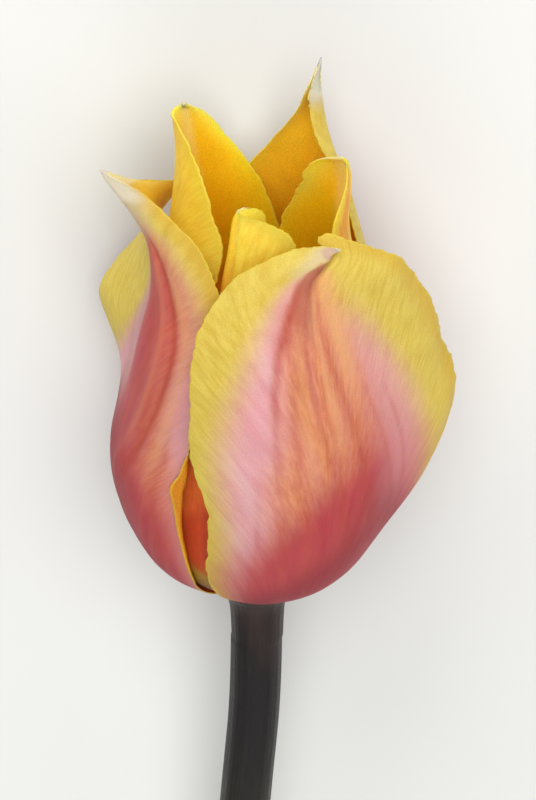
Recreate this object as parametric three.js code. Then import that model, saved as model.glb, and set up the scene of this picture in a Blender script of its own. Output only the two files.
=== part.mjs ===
// A part-opened tulip with its cut stem, lying on its back. Millimetres, +Z up.
//
// Every piece is drawn in the flower's own frame: Z runs up the flower from the top of the
// receptacle to its mouth, and an azimuth of 0 points to the side that ends up on top (-Y),
// growing towards +X. The whole flower is then rolled, tipped over and laid on the surface.

import * as THREE from "three";

// Driving dimensions
const TEPAL_THICKNESS = 0.7;
const TEPAL_STEPS_ALONG = 18;
const TEPAL_STEPS_ACROSS = 10;

const STEM_LENGTH = 182;
const STEM_RADIUS = 4;
const STEM_SIDES = 20;
const STEM_STEPS = 16;
const STEM_CLEAR_OF_COLLAR = 2;

const PISTIL_BASE = 1.5;
const PISTIL_SIDES = 18;

const STAMEN_COUNT = 6;
const STAMEN_BASE = 1.5;
const STAMEN_SIDES = 8;

// How the cut flower lies: its axis rises by the tilt from the cut end to the head.
const LYING_TILT = 4.94;
const LYING_ROLL = -0.75;
const FLOWER_BASE = [-2.75, 49.53, 19.8];

// Sideways drift of the stem's middle line, as [height, x, y].
const STEM_LINE = [
  [0, 0, 0],
  [-20, -0.4, 0],
  [-38, -1.8, 0],
  [-90, -6.2, 0],
  [-140, -9.2, 0],
  [-STEM_LENGTH, -10.5, 0],
];

// Receptacle at the stem's top, as [height, radius]: a collar under the outer tepals and a
// boss under the inner ones.
const RECEPTACLE = [
  [-9, 4.0],
  [-4, 4.2],
  [-1.8, 4.7],
  [-0.7, 5.4],
  [-0.2, 5.7],
  [0.05, 5.5],
  [0.15, 4.6],
  [1.0, 4.5],
  [1.2, 4.1],
];

// Pistil, as [height above its base, radius, depth of its three lobes as a share].
const PISTIL_PROFILE = [
  [0, 1.9, 0.08],
  [3, 2.6, 0.1],
  [10, 3.3, 0.12],
  [18, 3.2, 0.12],
  [24, 2.6, 0.12],
  [27, 2.5, 0.15],
  [29, 3.6, 0.3],
  [30.5, 4.0, 0.35],
  [31.5, 3.2, 0.35],
];

// Stamen, as [height above its base, distance from the axis, half width, half depth]: a thin
// filament that carries a long anther.
const STAMEN_PROFILE = [
  [0, 3.1, 0.5, 0.5],
  [6, 4.2, 0.65, 0.55],
  [13, 5.4, 0.45, 0.4],
  [14, 5.5, 1.0, 0.8],
  [16, 5.8, 1.5, 1.1],
  [22, 6.3, 1.5, 1.1],
  [26, 6.7, 1.2, 0.9],
  [28, 6.9, 0.5, 0.4],
];

// Each tepal is a net of rows from its base to its tip. A row is
// [left edge, fullness, middle rib, fullness, right edge], with the edges and the rib as
// [azimuth in degrees, radius, height], and the fullness as how far the blade halfway between
// edge and rib stands out beyond the mean of the two.
const TEPALS = [
  {
    name: "tepal_outer_front",
    colour: 0xdd8a72,
    wave: { height: 0.3, count: 5, start: 0.1 },
    rows: [
      [[-20, 5.1, 0.9], 0, [27, 5.1, 0.8], 0, [74, 5.1, 0.9]],
      [[-21, 12.2, 3.6], 0.2, [27, 12.2, 3.3], 0.1, [75, 11.5, 3.4]],
      [[-24, 16.4, 9.5], 0.5, [27, 17.4, 8.4], 0.1, [77, 17.3, 9.6]],
      [[-19, 20.6, 20], 0.8, [27, 22.0, 19.5], -0.6, [81, 24.4, 20]],
      [[-25, 23.0, 33], 0.8, [25, 24.2, 33], -1.2, [82, 29.3, 33]],
      [[-24, 23.6, 44], 0.6, [21, 24.0, 44], -1.2, [79.5, 28.9, 43]],
      [[-21.3, 22.3, 54.2], 0.8, [17.5, 22.2, 53.5], -0.8, [75, 26.6, 51.6]],
      [[-12, 18.6, 60.8], 1.0, [18, 20.4, 60], 0.2, [65, 23.6, 60]],
      [[4, 18.2, 64.0], 0.6, [25, 19, 62.6], 0.8, [54, 20.3, 63.6]],
      [[20, 17.6, 65.4], 0.2, [31, 18.4, 64], 1.0, [41, 17.8, 66.0]],
      [[32, 18.0, 64.7], 0, [35.5, 18.8, 64.2], 0.6, [32.5, 16.4, 65.6]],
      [[38.6, 19.2, 64.4], 0, [39, 19.3, 64.5], 0, [39.4, 19.2, 64.5]],
    ],
  },
  {
    name: "tepal_outer_left",
    colour: 0xd98074,
    wave: { height: 0.25, count: 5, start: 0.4 },
    rows: [
      [[-146, 5.1, 0.9], 0, [-93, 5.1, 0.8], 0, [-40, 5.1, 0.9]],
      [[-150, 11.7, 3.3], 0.3, [-93, 12.0, 3.2], 0.3, [-41, 12.2, 4.0]],
      [[-152, 17.4, 9.3], 0.6, [-93, 17.8, 9.5], 0.6, [-41, 16.8, 10.5]],
      [[-152, 24.7, 21], 0, [-92, 21.9, 21.5], 0.6, [-39.5, 19.3, 22.5]],
      [[-139, 25.6, 29.5], -0.8, [-91, 20.9, 29.5], 0.6, [-33, 19.4, 30]],
      [[-125.5, 27.8, 37.8], -2.2, [-90, 18.9, 37], 0.5, [-27, 20.3, 38]],
      [[-121.5, 28.3, 44], -2.4, [-90, 16.6, 46], 0.6, [-20, 20.5, 47]],
      [[-131, 24.8, 50.8], -1.8, [-89, 15.3, 52], 0.6, [-16, 18.6, 53]],
      [[-138, 20.6, 57.5], -0.8, [-89, 15.6, 58.5], 0.6, [-19, 16.6, 59]],
      [[-141, 18.4, 61.5], 0, [-89.5, 17.4, 62.4], 0.3, [-33, 15.2, 63.8]],
      [[-126, 18.4, 63.4], 0, [-91, 20.0, 65.8], 0, [-57, 15.6, 66.8]],
      [[-108, 19.6, 65.8], 0, [-92, 21.4, 67.4], 0, [-76, 17.6, 68.7]],
      [[-94, 22.8, 69.4], 0, [-93, 23.0, 69.6], 0, [-92, 22.8, 69.7]],
    ],
  },
  {
    name: "tepal_outer_back",
    colour: 0xdf9478,
    wave: { height: 0.25, count: 5, start: 0.7 },
    rows: [
      [[94, 5.1, 0.9], 0, [147, 5.1, 0.8], 0, [200, 5.1, 0.9]],
      [[91, 11.7, 3.3], 0.3, [147, 12.2, 3.1], 0.3, [203, 11.7, 3.3]],
      [[92, 17.0, 9.3], 0.6, [147, 18.2, 8.4], 0.6, [204, 17.2, 9.3]],
      [[94, 19.8, 22], 0.6, [151, 23.8, 20], -1.9, [203, 20.6, 22]],
      [[96, 19.9, 37], 0.6, [151, 23.6, 35], -1.3, [201, 20.0, 37]],
      [[97.5, 17.2, 50], 0.2, [149, 21.4, 50], 0.6, [197, 17.8, 50]],
      [[100, 14.6, 58.5], 0.3, [148, 19.0, 61.5], 0.8, [190, 16.4, 60.5]],
      [[129, 14.6, 66.0], 1.0, [148, 17.8, 70.0], 0.8, [174, 16.0, 67.0]],
      [[143, 14.2, 72.2], 1.2, [148, 17.8, 75.0], 0.9, [159, 16.0, 72.3]],
      [[148, 15.0, 76.2], 0.9, [148, 17.6, 78.5], 0.9, [152, 15.6, 76.4]],
      [[146.5, 17.3, 81.3], 0, [147, 17.6, 81.6], 0, [147.5, 17.3, 81.3]],
    ],
  },
  {
    name: "tepal_inner_back",
    colour: 0xe8b53c,
    wave: { height: 0.2, count: 5, start: 0.2 },
    rows: [
      [[-186, 4.3, 1.9], 0, [-146, 4.3, 1.8], 0, [-106, 4.3, 1.9]],
      [[-190, 10.4, 4.8], 0.3, [-146, 10.6, 4.6], 0.3, [-101, 10.4, 4.8]],
      [[-192, 15.0, 11], 0.4, [-145, 15.6, 10], 0.4, [-97, 15.0, 11]],
      [[-194, 17.2, 24], 0.6, [-143, 19.0, 23], 0.6, [-90, 17.4, 24]],
      [[-196, 16.4, 38], 0.6, [-141, 18.6, 37], 0.2, [-78, 15.4, 38]],
      [[-196, 14.2, 50], 0.5, [-139, 16.6, 50], 0, [-55, 12.4, 50]],
      [[-188, 13.6, 59], 0.3, [-138, 15.2, 60], -0.5, [-31, 9.8, 59.5]],
      [[-176, 14.0, 64.6], 0.3, [-136, 14.8, 67], -0.4, [-51, 8.7, 66]],
      [[-162, 14.8, 69.4], 0.2, [-134, 14.4, 73], 0.3, [-74, 9.0, 72]],
      [[-150, 15.2, 73.6], 0, [-132, 14.0, 76.4], 0.4, [-95, 11.6, 77]],
      [[-140, 14.8, 75.4], 0, [-130, 13.8, 76.9], 0.2, [-110, 13.4, 77.3]],
    ],
  },
  {
    name: "tepal_inner_right",
    colour: 0xe9b83a,
    wave: { height: 0.15, count: 5, start: 0.5 },
    rows: [
      [[54, 4.3, 1.9], 0, [94, 4.3, 1.8], 0, [134, 4.3, 1.9]],
      [[50, 10.4, 4.8], 0.3, [94, 10.6, 4.6], 0.3, [138, 10.4, 4.8]],
      [[48, 15.0, 11], 0.3, [94, 15.6, 10], 0.4, [141, 15.0, 11]],
      [[47, 17.8, 24], 0.6, [94, 18.4, 22], 0.6, [146, 17.5, 24]],
      [[48, 17.5, 38], 0.5, [94, 18.2, 37], 0.5, [152, 16.2, 38]],
      [[50, 15.0, 50], 0.4, [93, 15.3, 50], 0.3, [165, 13.0, 47]],
      [[53, 13.3, 60], 0.3, [92, 13.2, 60.5], 0.3, [163, 12.2, 56.2]],
      [[63, 13.5, 67], 0.1, [92, 13.4, 67], 0.3, [149, 11.8, 62.2]],
      [[82, 13.3, 70.0], 0, [93, 13.2, 70.5], 0.3, [139, 11.4, 66.6]],
      [[88, 13.2, 70.9], 0, [98, 12.7, 71.1], 0.1, [122, 11.5, 69.2]],
    ],
  },
  {
    name: "tepal_inner_front",
    colour: 0xebbc48,
    wave: { height: 0.15, count: 5, start: 0.8 },
    rows: [
      [[-68, 4.3, 1.9], 0, [-28, 4.3, 1.8], 0, [12, 4.3, 1.9]],
      [[-72, 10.4, 4.8], 0.3, [-28, 10.6, 4.6], 0.3, [16, 10.4, 4.8]],
      [[-72, 14.6, 11], 0.3, [-27, 14.8, 10], 0.3, [20, 14.8, 11]],
      [[-70, 16.8, 24], 0.5, [-26, 17.4, 23], 0.5, [24, 17.6, 24]],
      [[-60, 13.5, 38], 0.6, [-25, 17.0, 37], 0.5, [27, 17.0, 38]],
      [[-42, 8.5, 48], 0.6, [-24, 14.6, 49], 0.5, [30, 15.2, 48]],
      [[-18, 5.0, 56], 0, [-22.5, 12.2, 57], 0.3, [31, 13.6, 56.5]],
      [[2, 4.2, 62.5], 0, [-20, 10.6, 62.4], 0.2, [29, 12.2, 63]],
      [[4, 5.0, 66.2], 0, [-20, 9.1, 65.6], 0, [12, 9.3, 65.2]],
      [[-14, 7.6, 67.6], 0, [-18.5, 8.5, 67.4], 0, [-17, 8.5, 66.6]],
    ],
  },
];

// Smooth curve through the points, which are arrays of numbers. The position counts in steps
// from one point to the next.
function alongSpline(points, position) {
  const last = points.length - 1;
  const k = Math.min(Math.floor(position), last - 1);
  const t = position - k;
  const b = points[k];
  const c = points[k + 1];
  const a = k > 0 ? points[k - 1] : b.map((x, i) => 2 * x - c[i]);
  const d = k + 2 <= last ? points[k + 2] : c.map((x, i) => 2 * x - b[i]);
  return b.map((x, i) => {
    const slope = c[i] - a[i];
    const bend = 2 * a[i] - 5 * x + 4 * c[i] - d[i];
    const twist = 3 * x - a[i] - 3 * c[i] + d[i];
    return x + 0.5 * t * (slope + t * (bend + t * twist));
  });
}

function halfway(edge, fullness, rib) {
  const [azimuth, radius, height] = edge.map((x, i) => (x + rib[i]) / 2);
  return [azimuth, radius + fullness, height];
}

function fivePoints([left, fullLeft, rib, fullRight, right]) {
  return [left, halfway(left, fullLeft, rib), rib, halfway(right, fullRight, rib), right];
}

function fromCylinder(azimuth, radius, height) {
  const angle = THREE.MathUtils.degToRad(azimuth);
  return new THREE.Vector3(radius * Math.sin(angle), -radius * Math.cos(angle), height);
}

// Point of a tepal's middle surface: along runs 0 to 1 from base to tip, across runs -1 to 1
// from the left edge to the right one.
function tepalPoint(columns, along, across) {
  const ribs = columns.map((column) => alongSpline(column, along * (column.length - 1)));
  return fromCylinder(...alongSpline(ribs, 2 * (across + 1)));
}

// Grid of the middle surface, with the unit normals that point away from the flower's axis.
function tepalGrid(rows) {
  const columns = [0, 1, 2, 3, 4].map((c) => rows.map((row) => fivePoints(row)[c]));
  const points = [];
  for (let i = 0; i <= TEPAL_STEPS_ALONG; i++) {
    const line = [];
    for (let j = 0; j <= TEPAL_STEPS_ACROSS; j++) {
      line.push(tepalPoint(columns, i / TEPAL_STEPS_ALONG, (2 * j) / TEPAL_STEPS_ACROSS - 1));
    }
    points.push(line);
  }
  return { points, normals: gridNormals(points) };
}

function gridNormals(points) {
  const clampedRow = (i) => points[THREE.MathUtils.clamp(i, 0, points.length - 1)];
  return points.map((line, i) =>
    line.map((_, j) => {
      const upwards = clampedRow(i + 1)[j].clone().sub(clampedRow(i - 1)[j]);
      const right = line[Math.min(j + 1, line.length - 1)].clone();
      const sideways = right.sub(line[Math.max(j - 1, 0)]);
      return sideways.cross(upwards).normalize();
    }),
  );
}

// How far the rippled margin stands off the middle surface.
function ripple(wave, along, across) {
  const turns = wave.count * along + wave.start;
  return wave.height * Math.abs(across) ** 3 * Math.sin(2 * Math.PI * turns);
}

// Closed blade of even thickness. Both faces are split into triangles alike.
function tepalGeometry({ rows, wave }) {
  const { points, normals } = tepalGrid(rows);
  const width = TEPAL_STEPS_ACROSS + 1;
  const faceSize = (TEPAL_STEPS_ALONG + 1) * width;
  const positions = [];
  for (const side of [1, -1]) {
    points.forEach((line, i) =>
      line.forEach((point, j) => {
        const across = (2 * j) / TEPAL_STEPS_ACROSS - 1;
        const lift = ripple(wave, i / TEPAL_STEPS_ALONG, across) + (side * TEPAL_THICKNESS) / 2;
        positions.push(...point.clone().addScaledVector(normals[i][j], lift));
      }),
    );
  }
  const indices = [];
  for (let i = 0; i < TEPAL_STEPS_ALONG; i++) {
    for (let j = 0; j < TEPAL_STEPS_ACROSS; j++) {
      const a = i * width + j;
      const corners = [a, a + 1, a + width + 1, a + width];
      addQuad(indices, corners);
      addQuad(indices, corners.map((k) => k + faceSize), true);
    }
  }
  const rim = rimIndices(width, TEPAL_STEPS_ALONG + 1);
  rim.forEach((from, k) => {
    const to = rim[(k + 1) % rim.length];
    addQuad(indices, [from, from + faceSize, to + faceSize, to]);
  });
  return closedGeometry(positions, indices);
}

// Two triangles on the diagonal from the first corner to the third.
function addQuad(indices, [a, b, c, d], reversed = false) {
  indices.push(...(reversed ? [a, c, b, a, d, c] : [a, b, c, a, c, d]));
}

// Edge of a grid in order: along the base, up the right side, back over the tip, down the left.
function rimIndices(width, height) {
  const rim = [];
  for (let j = 0; j < width - 1; j++) rim.push(j);
  for (let i = 0; i < height - 1; i++) rim.push(i * width + width - 1);
  for (let j = width - 1; j > 0; j--) rim.push((height - 1) * width + j);
  for (let i = height - 1; i > 0; i--) rim.push(i * width);
  return rim;
}

function closedGeometry(positions, indices) {
  const geometry = new THREE.BufferGeometry();
  geometry.setAttribute("position", new THREE.Float32BufferAttribute(positions, 3));
  geometry.setIndex(indices);
  geometry.computeVertexNormals();
  return geometry;
}

// Closed solid through a stack of sections from the bottom up, all with as many points.
function stackGeometry(sections) {
  const sides = sections[0].length;
  const indices = [];
  for (let i = 0; i < sections.length - 1; i++) {
    for (let j = 0; j < sides; j++) {
      const next = (j + 1) % sides;
      const below = i * sides;
      const above = below + sides;
      addQuad(indices, [below + j, below + next, above + next, above + j]);
    }
  }
  const top = (sections.length - 1) * sides;
  for (let j = 1; j < sides - 1; j++) {
    indices.push(0, j + 1, j);
    indices.push(top, top + j, top + j + 1);
  }
  return closedGeometry(sections.flat().flatMap((point) => [...point]), indices);
}

// Points around a level section, with its half width and half depth from the angle.
function section(sides, centre, reach) {
  const points = [];
  for (let j = 0; j < sides; j++) {
    const angle = (2 * Math.PI * j) / sides;
    const [x, y] = reach(angle);
    points.push(new THREE.Vector3(centre.x + x, centre.y + y, centre.z));
  }
  return points;
}

function roundSection(sides, centre, radius) {
  return section(sides, centre, (a) => [radius * Math.cos(a), radius * Math.sin(a)]);
}

function stemGeometry() {
  const line = new THREE.CatmullRomCurve3(
    STEM_LINE.map(([height, x, y]) => new THREE.Vector3(x, y, height)).reverse(),
  );
  const stemTop = RECEPTACLE[0][0] - STEM_CLEAR_OF_COLLAR;
  const sections = [];
  for (let i = 0; i < STEM_STEPS; i++) {
    const point = line.getPointAt(i / STEM_STEPS);
    if (point.z < stemTop) sections.push(roundSection(STEM_SIDES, point, STEM_RADIUS));
  }
  for (const [height, radius] of RECEPTACLE) {
    sections.push(roundSection(STEM_SIDES, new THREE.Vector3(0, 0, height), radius));
  }
  return stackGeometry(sections);
}

function pistilGeometry() {
  return stackGeometry(
    PISTIL_PROFILE.map(([height, radius, lobes]) =>
      section(PISTIL_SIDES, new THREE.Vector3(0, 0, PISTIL_BASE + height), (angle) => {
        const r = radius * (1 + lobes * Math.cos(3 * angle));
        return [r * Math.cos(angle), r * Math.sin(angle)];
      }),
    ),
  );
}

function stamenGeometry() {
  return stackGeometry(
    STAMEN_PROFILE.map(([height, distance, halfWidth, halfDepth]) =>
      section(STAMEN_SIDES, new THREE.Vector3(0, -distance, STAMEN_BASE + height), (angle) => [
        halfWidth * Math.cos(angle),
        halfDepth * Math.sin(angle),
      ]),
    ),
  );
}

function piece(name, geometry, colour, roughness) {
  const material = new THREE.MeshStandardMaterial({ color: colour, roughness, metalness: 0 });
  const mesh = new THREE.Mesh(geometry, material);
  mesh.name = name;
  return mesh;
}

function makeFlower() {
  const flower = new THREE.Group();
  flower.add(piece("stem", stemGeometry(), 0x5b5f57, 0.6));
  flower.add(piece("pistil", pistilGeometry(), 0xb7bf6a, 0.6));
  for (let i = 0; i < STAMEN_COUNT; i++) {
    const stamen = piece(`stamen_${i + 1}`, stamenGeometry(), 0x3a2a3c, 0.8);
    stamen.rotation.z = (2 * Math.PI * i) / STAMEN_COUNT;
    flower.add(stamen);
  }
  for (const tepal of TEPALS) {
    flower.add(piece(tepal.name, tepalGeometry(tepal), tepal.colour, 0.55));
  }
  return flower;
}

// Rolled about its own axis, then tipped over so that azimuth 0 looks up.
function layDown(flower) {
  flower.rotation.z = THREE.MathUtils.degToRad(LYING_ROLL);
  const lying = new THREE.Group();
  lying.add(flower);
  lying.rotation.x = THREE.MathUtils.degToRad(LYING_TILT - 90);
  lying.position.set(...FLOWER_BASE);
  return lying;
}

const tulip = new THREE.Group();
tulip.add(layDown(makeFlower()));

export default tulip;
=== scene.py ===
"""A part-opened tulip with its cut stem, lying on its back on a pale floor.

Every piece is drawn in millimetres in the flower's own frame: Z runs up the flower from the top of
the receptacle to its mouth, and an azimuth of 0 points to the side that ends up on top (-Y), growing
towards +X. The last step rolls the flower, tips it over and scales it to metres.
"""

import math

import bpy
import numpy as np
from mathutils import Matrix, Vector


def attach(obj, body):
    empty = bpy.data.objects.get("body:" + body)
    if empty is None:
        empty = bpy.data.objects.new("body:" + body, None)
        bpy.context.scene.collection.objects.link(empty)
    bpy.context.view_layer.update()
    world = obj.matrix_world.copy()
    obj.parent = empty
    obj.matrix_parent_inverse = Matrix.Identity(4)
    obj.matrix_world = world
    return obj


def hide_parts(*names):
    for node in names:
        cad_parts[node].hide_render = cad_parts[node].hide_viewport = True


MM = 0.001

# How the cut flower lies: its axis rises by the tilt from the cut end to the head.
LYING_TILT = 4.94
LYING_ROLL = -0.75
FLOWER_BASE = (-2.75, 49.53, 19.8)
LYING = (
    Matrix.Scale(MM, 4)
    @ Matrix.Translation(Vector(FLOWER_BASE))
    @ Matrix.Rotation(math.radians(LYING_TILT - 90), 4, "X")
    @ Matrix.Rotation(math.radians(LYING_ROLL), 4, "Z")
)

# The camera looks at the flower from the side of azimuth 0 and from above its mouth. The target
# is given in the picture's own directions, from the top of the receptacle.
CAMERA_ELEVATION = 28
CAMERA_DISTANCE = 650
CAMERA_TARGET_RIGHT = 1.69
CAMERA_TARGET_UP = 28.3
PICTURE_HEIGHT = 123.1
SENSOR_SIZE = 36

# Studio in metres and watts. A light is [name, place, size, power], and all point at one place.
FLOOR_SIZE = 6
LIGHTS = [
    ["key", (-0.36, 1.12, 0.5), 0.9, 8.5],
    ["top", (0.1, 0.5, 1.05), 1, 9.6],
    ["left", (-1.1, 0.25, 0.5), 0.9, 1.8],
    ["right", (1.1, 0.2, 0.4), 0.9, 4.4],
    ["foot", (0, -0.9, 0.6), 0.9, 5.2],
]
LIT_PLACE = (0, 0.08, 0.02)
WORLD_STRENGTH = 0.3

# Fineness of the tepals' grids, with the rib in the middle column, and how often their control
# curves are evened out.
TEPAL_STEPS_ALONG = 230
TEPAL_STEPS_ACROSS = 144
RIB_COLUMN = TEPAL_STEPS_ACROSS // 2
SMOOTHING_PASSES = 24

# A blade is thickest at its middle and base, and thins out over a strip along its margin.
BLADE_THICKNESS = 0.55
MARGIN_THICKNESS = 0.2
MARGIN_STRIP = 5.0

# Uneven margin, as [length of one scallop, how far it stands out]. It is smooth at its foot, and
# grows uneven between two distances up the margin.
SCALLOPS = [[0.8, 0.17], [1.9, 0.22], [8, 0.25]]
SMOOTH_FOOT = (8, 20)

# A margin that is turned over: the share of the grid's columns before it, and how tightly it turns.
ROLLED_FROM = 0.86
ROLL_RADIUS = 0.3

# Ribs along the veins, how many of them there are to a millimetre beside the base, the heights
# between which they rise out of the blade, and the strip along the margin where they sink again.
RIB_HEIGHT = 0.07
RIBS_PER_MM = 2.2
RIBS_RISE = (4, 25)
RIBS_STRIP = 3

# Width of the cusp at the end of a rib, and the place along where it starts.
CUSP_WIDTH = 0.35
CUSP_START = 0.96

# Seeds of the random forms. The tepals take multiples of theirs.
TEPAL_SEED = 100
RIBS_SEED = 50
STEM_SEED = 7
PISTIL_SEED = 3
STAMEN_SEED = 20

# Waves of a margin reach inwards along the veins, which meet it higher up than they start.
WAVE_SLANT = 0.3

# Sideways drift of the stem's middle line, as [height, x, y].
STEM_LENGTH = 182
STEM_RADIUS = 4
STEM_LINE = [[0, 0, 0], [-20, -0.4, 0], [-38, -1.8, 0], [-90, -6.2, 0], [-140, -9.2, 0],
    [-STEM_LENGTH, -10.5, 0]]
STEM_STEPS = 260
STEM_SIDES = 120

# Low flutes of the stem, as [number around it, depth as a share], the swellings along it with their
# share and length, and its cut face, as [share of the radius, dip].
STEM_FLUTES = [[5, 0.012], [13, 0.006], [29, 0.003]]
STEM_SWELL = 0.012
SWELL_LENGTH = 16
CUT_FACE = [[0.975, 0], [0.93, -0.05], [0.8, 0.12], [0.62, 0.16], [0.45, 0.12], [0.3, 0.02],
    [0.14, -0.08], [0.02, -0.1]]

# Receptacle at the stem's top, as [height, radius].
RECEPTACLE = [[-9, 4], [-4, 4.2], [-1.8, 4.7], [-0.7, 5.4], [-0.2, 5.7], [0.05, 5.5], [0.15, 4.6],
    [1, 4.5], [1.2, 4.1]]
COLLAR_STEPS = 60

# Pistil, as [height above its base, radius, depth of its three lobes as a share]. Its stigma starts
# between two heights and is rough.
PISTIL_BASE = 1.5
PISTIL_STEPS = 140
PISTIL_SIDES = 96
STIGMA_RISE = (27.5, 29.5)
STIGMA_ROUGHNESS = 0.06
PISTIL_PROFILE = [[0, 1.9, 0.08], [3, 2.6, 0.1], [10, 3.3, 0.12], [18, 3.2, 0.12], [24, 2.6, 0.12],
    [27, 2.5, 0.15], [29, 3.6, 0.3], [30.5, 4, 0.35], [31.5, 3.2, 0.35]]

# Stamen, as [height above its base, distance from the axis, half width, half depth]. Its anther
# starts between two heights, and has lobes of a depth given as a share, and rough grains.
STAMEN_COUNT = 6
STAMEN_BASE = 1.5
STAMEN_STEPS = 110
STAMEN_SIDES = 48
ANTHER_RISE = (13, 15)
ANTHER_LOBES = 0.16
ANTHER_ROUGHNESS = 0.03
STAMEN_PROFILE = [[0, 3.1, 0.5, 0.5], [6, 4.2, 0.65, 0.55], [13, 5.4, 0.45, 0.4], [14, 5.5, 1, 0.8],
    [16, 5.8, 1.5, 1.1], [22, 6.3, 1.5, 1.1], [26, 6.7, 1.2, 0.9], [28, 6.9, 0.5, 0.4]]

# Bands on the back outer tepal, whose outer face the picture doesn't show: a flame as in front.
FLAME = {
    "blush": [[0, -1.2, 1.2], [0.15, -0.95, 0.95], [0.3, -0.78, 0.78], [0.45, -0.6, 0.6],
        [0.6, -0.4, 0.4], [0.75, -0.2, 0.2], [0.9, -0.05, 0.05], [1, 0, 0]],
    "glow": [[0, -0.5, 0.5], [0.3, -0.38, 0.34], [0.5, -0.26, 0.24], [0.7, -0.12, 0.1], [0.85, 0, 0],
        [1, 0, 0]],
    "rose": [[0, -0.9, 0.9], [0.2, -0.75, 0.75], [0.3, -0.5, 0.5], [0.4, -0.1, 0.1], [0.45, 0.1, -0.1],
        [1, 0.3, -0.3]],
    # Deep red at the base: partly the tepal's own deep rose and partly painted shade on the lower blade.
    "wine": [[0, -1.2, 1.2], [0.12, -0.9, 0.9], [0.2, -0.5, 0.5], [0.28, -0.1, 0.1], [0.34, 0.1, -0.1],
        [1, 0.3, -0.3]],
}

# Bands on the outer faces of the inner tepals: a short flame between wide yellow sides.
SHORT_FLAME = {
    "blush": [[0, 0.3, -0.3], [0.22, 0.1, -0.1], [0.27, -0.8, 0.8], [0.3, -0.65, 0.65],
        [0.45, -0.4, 0.4], [0.6, -0.1, 0.1], [0.7, 0.2, -0.2], [1, 0.3, -0.3]],
    "glow": [[0, 0.3, -0.3], [0.22, 0.1, -0.1], [0.28, -0.8, 0.8], [0.3, -0.6, 0.6], [0.5, -0.2, 0.2],
        [0.65, 0.1, -0.1], [1, 0.3, -0.3]],
    # Deep red low on the blade: partly the tepal's own red and partly painted shade where the outer
    # tepals cover it.
    "wine": [[0, 0.3, -0.3], [0.2, 0.1, -0.1], [0.25, -0.7, 0.7], [0.29, -0.6, 0.6], [0.32, -0.2, 0.2],
        [0.38, 0.1, -0.1], [1, 0.3, -0.3]],
}

# The front tepal's rib ends as a ridge that hangs over to the right, with a valley beside it, as
# [along, height of the ridge, overhang]. The flanks are its widths to the left and to the right of
# the rib, and the rest is [place beside the rib, width].
TIP_RIDGE = [[0, 0, 0], [0.5, 0, 0], [0.56, 0.2, 0], [0.62, 0.45, 0.1], [0.68, 0.65, 0.25],
    [0.74, 0.6, 0.3], [0.8, 0.35, 0.15], [0.86, 0.1, 0], [0.92, 0, 0], [1, 0, 0]]
RIDGE_FLANKS = (1.9, 0.5)
VALLEY = (1.1, 0.8)
VALLEY_DEPTH = 0.7
OVERHANG = (-0.1, 0.7)

# A torn tooth of the front tepal's right margin: its place along, how far it stands out and how
# long it fades out below.
TOOTH = (0.57, 0.55, 2.5)

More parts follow.
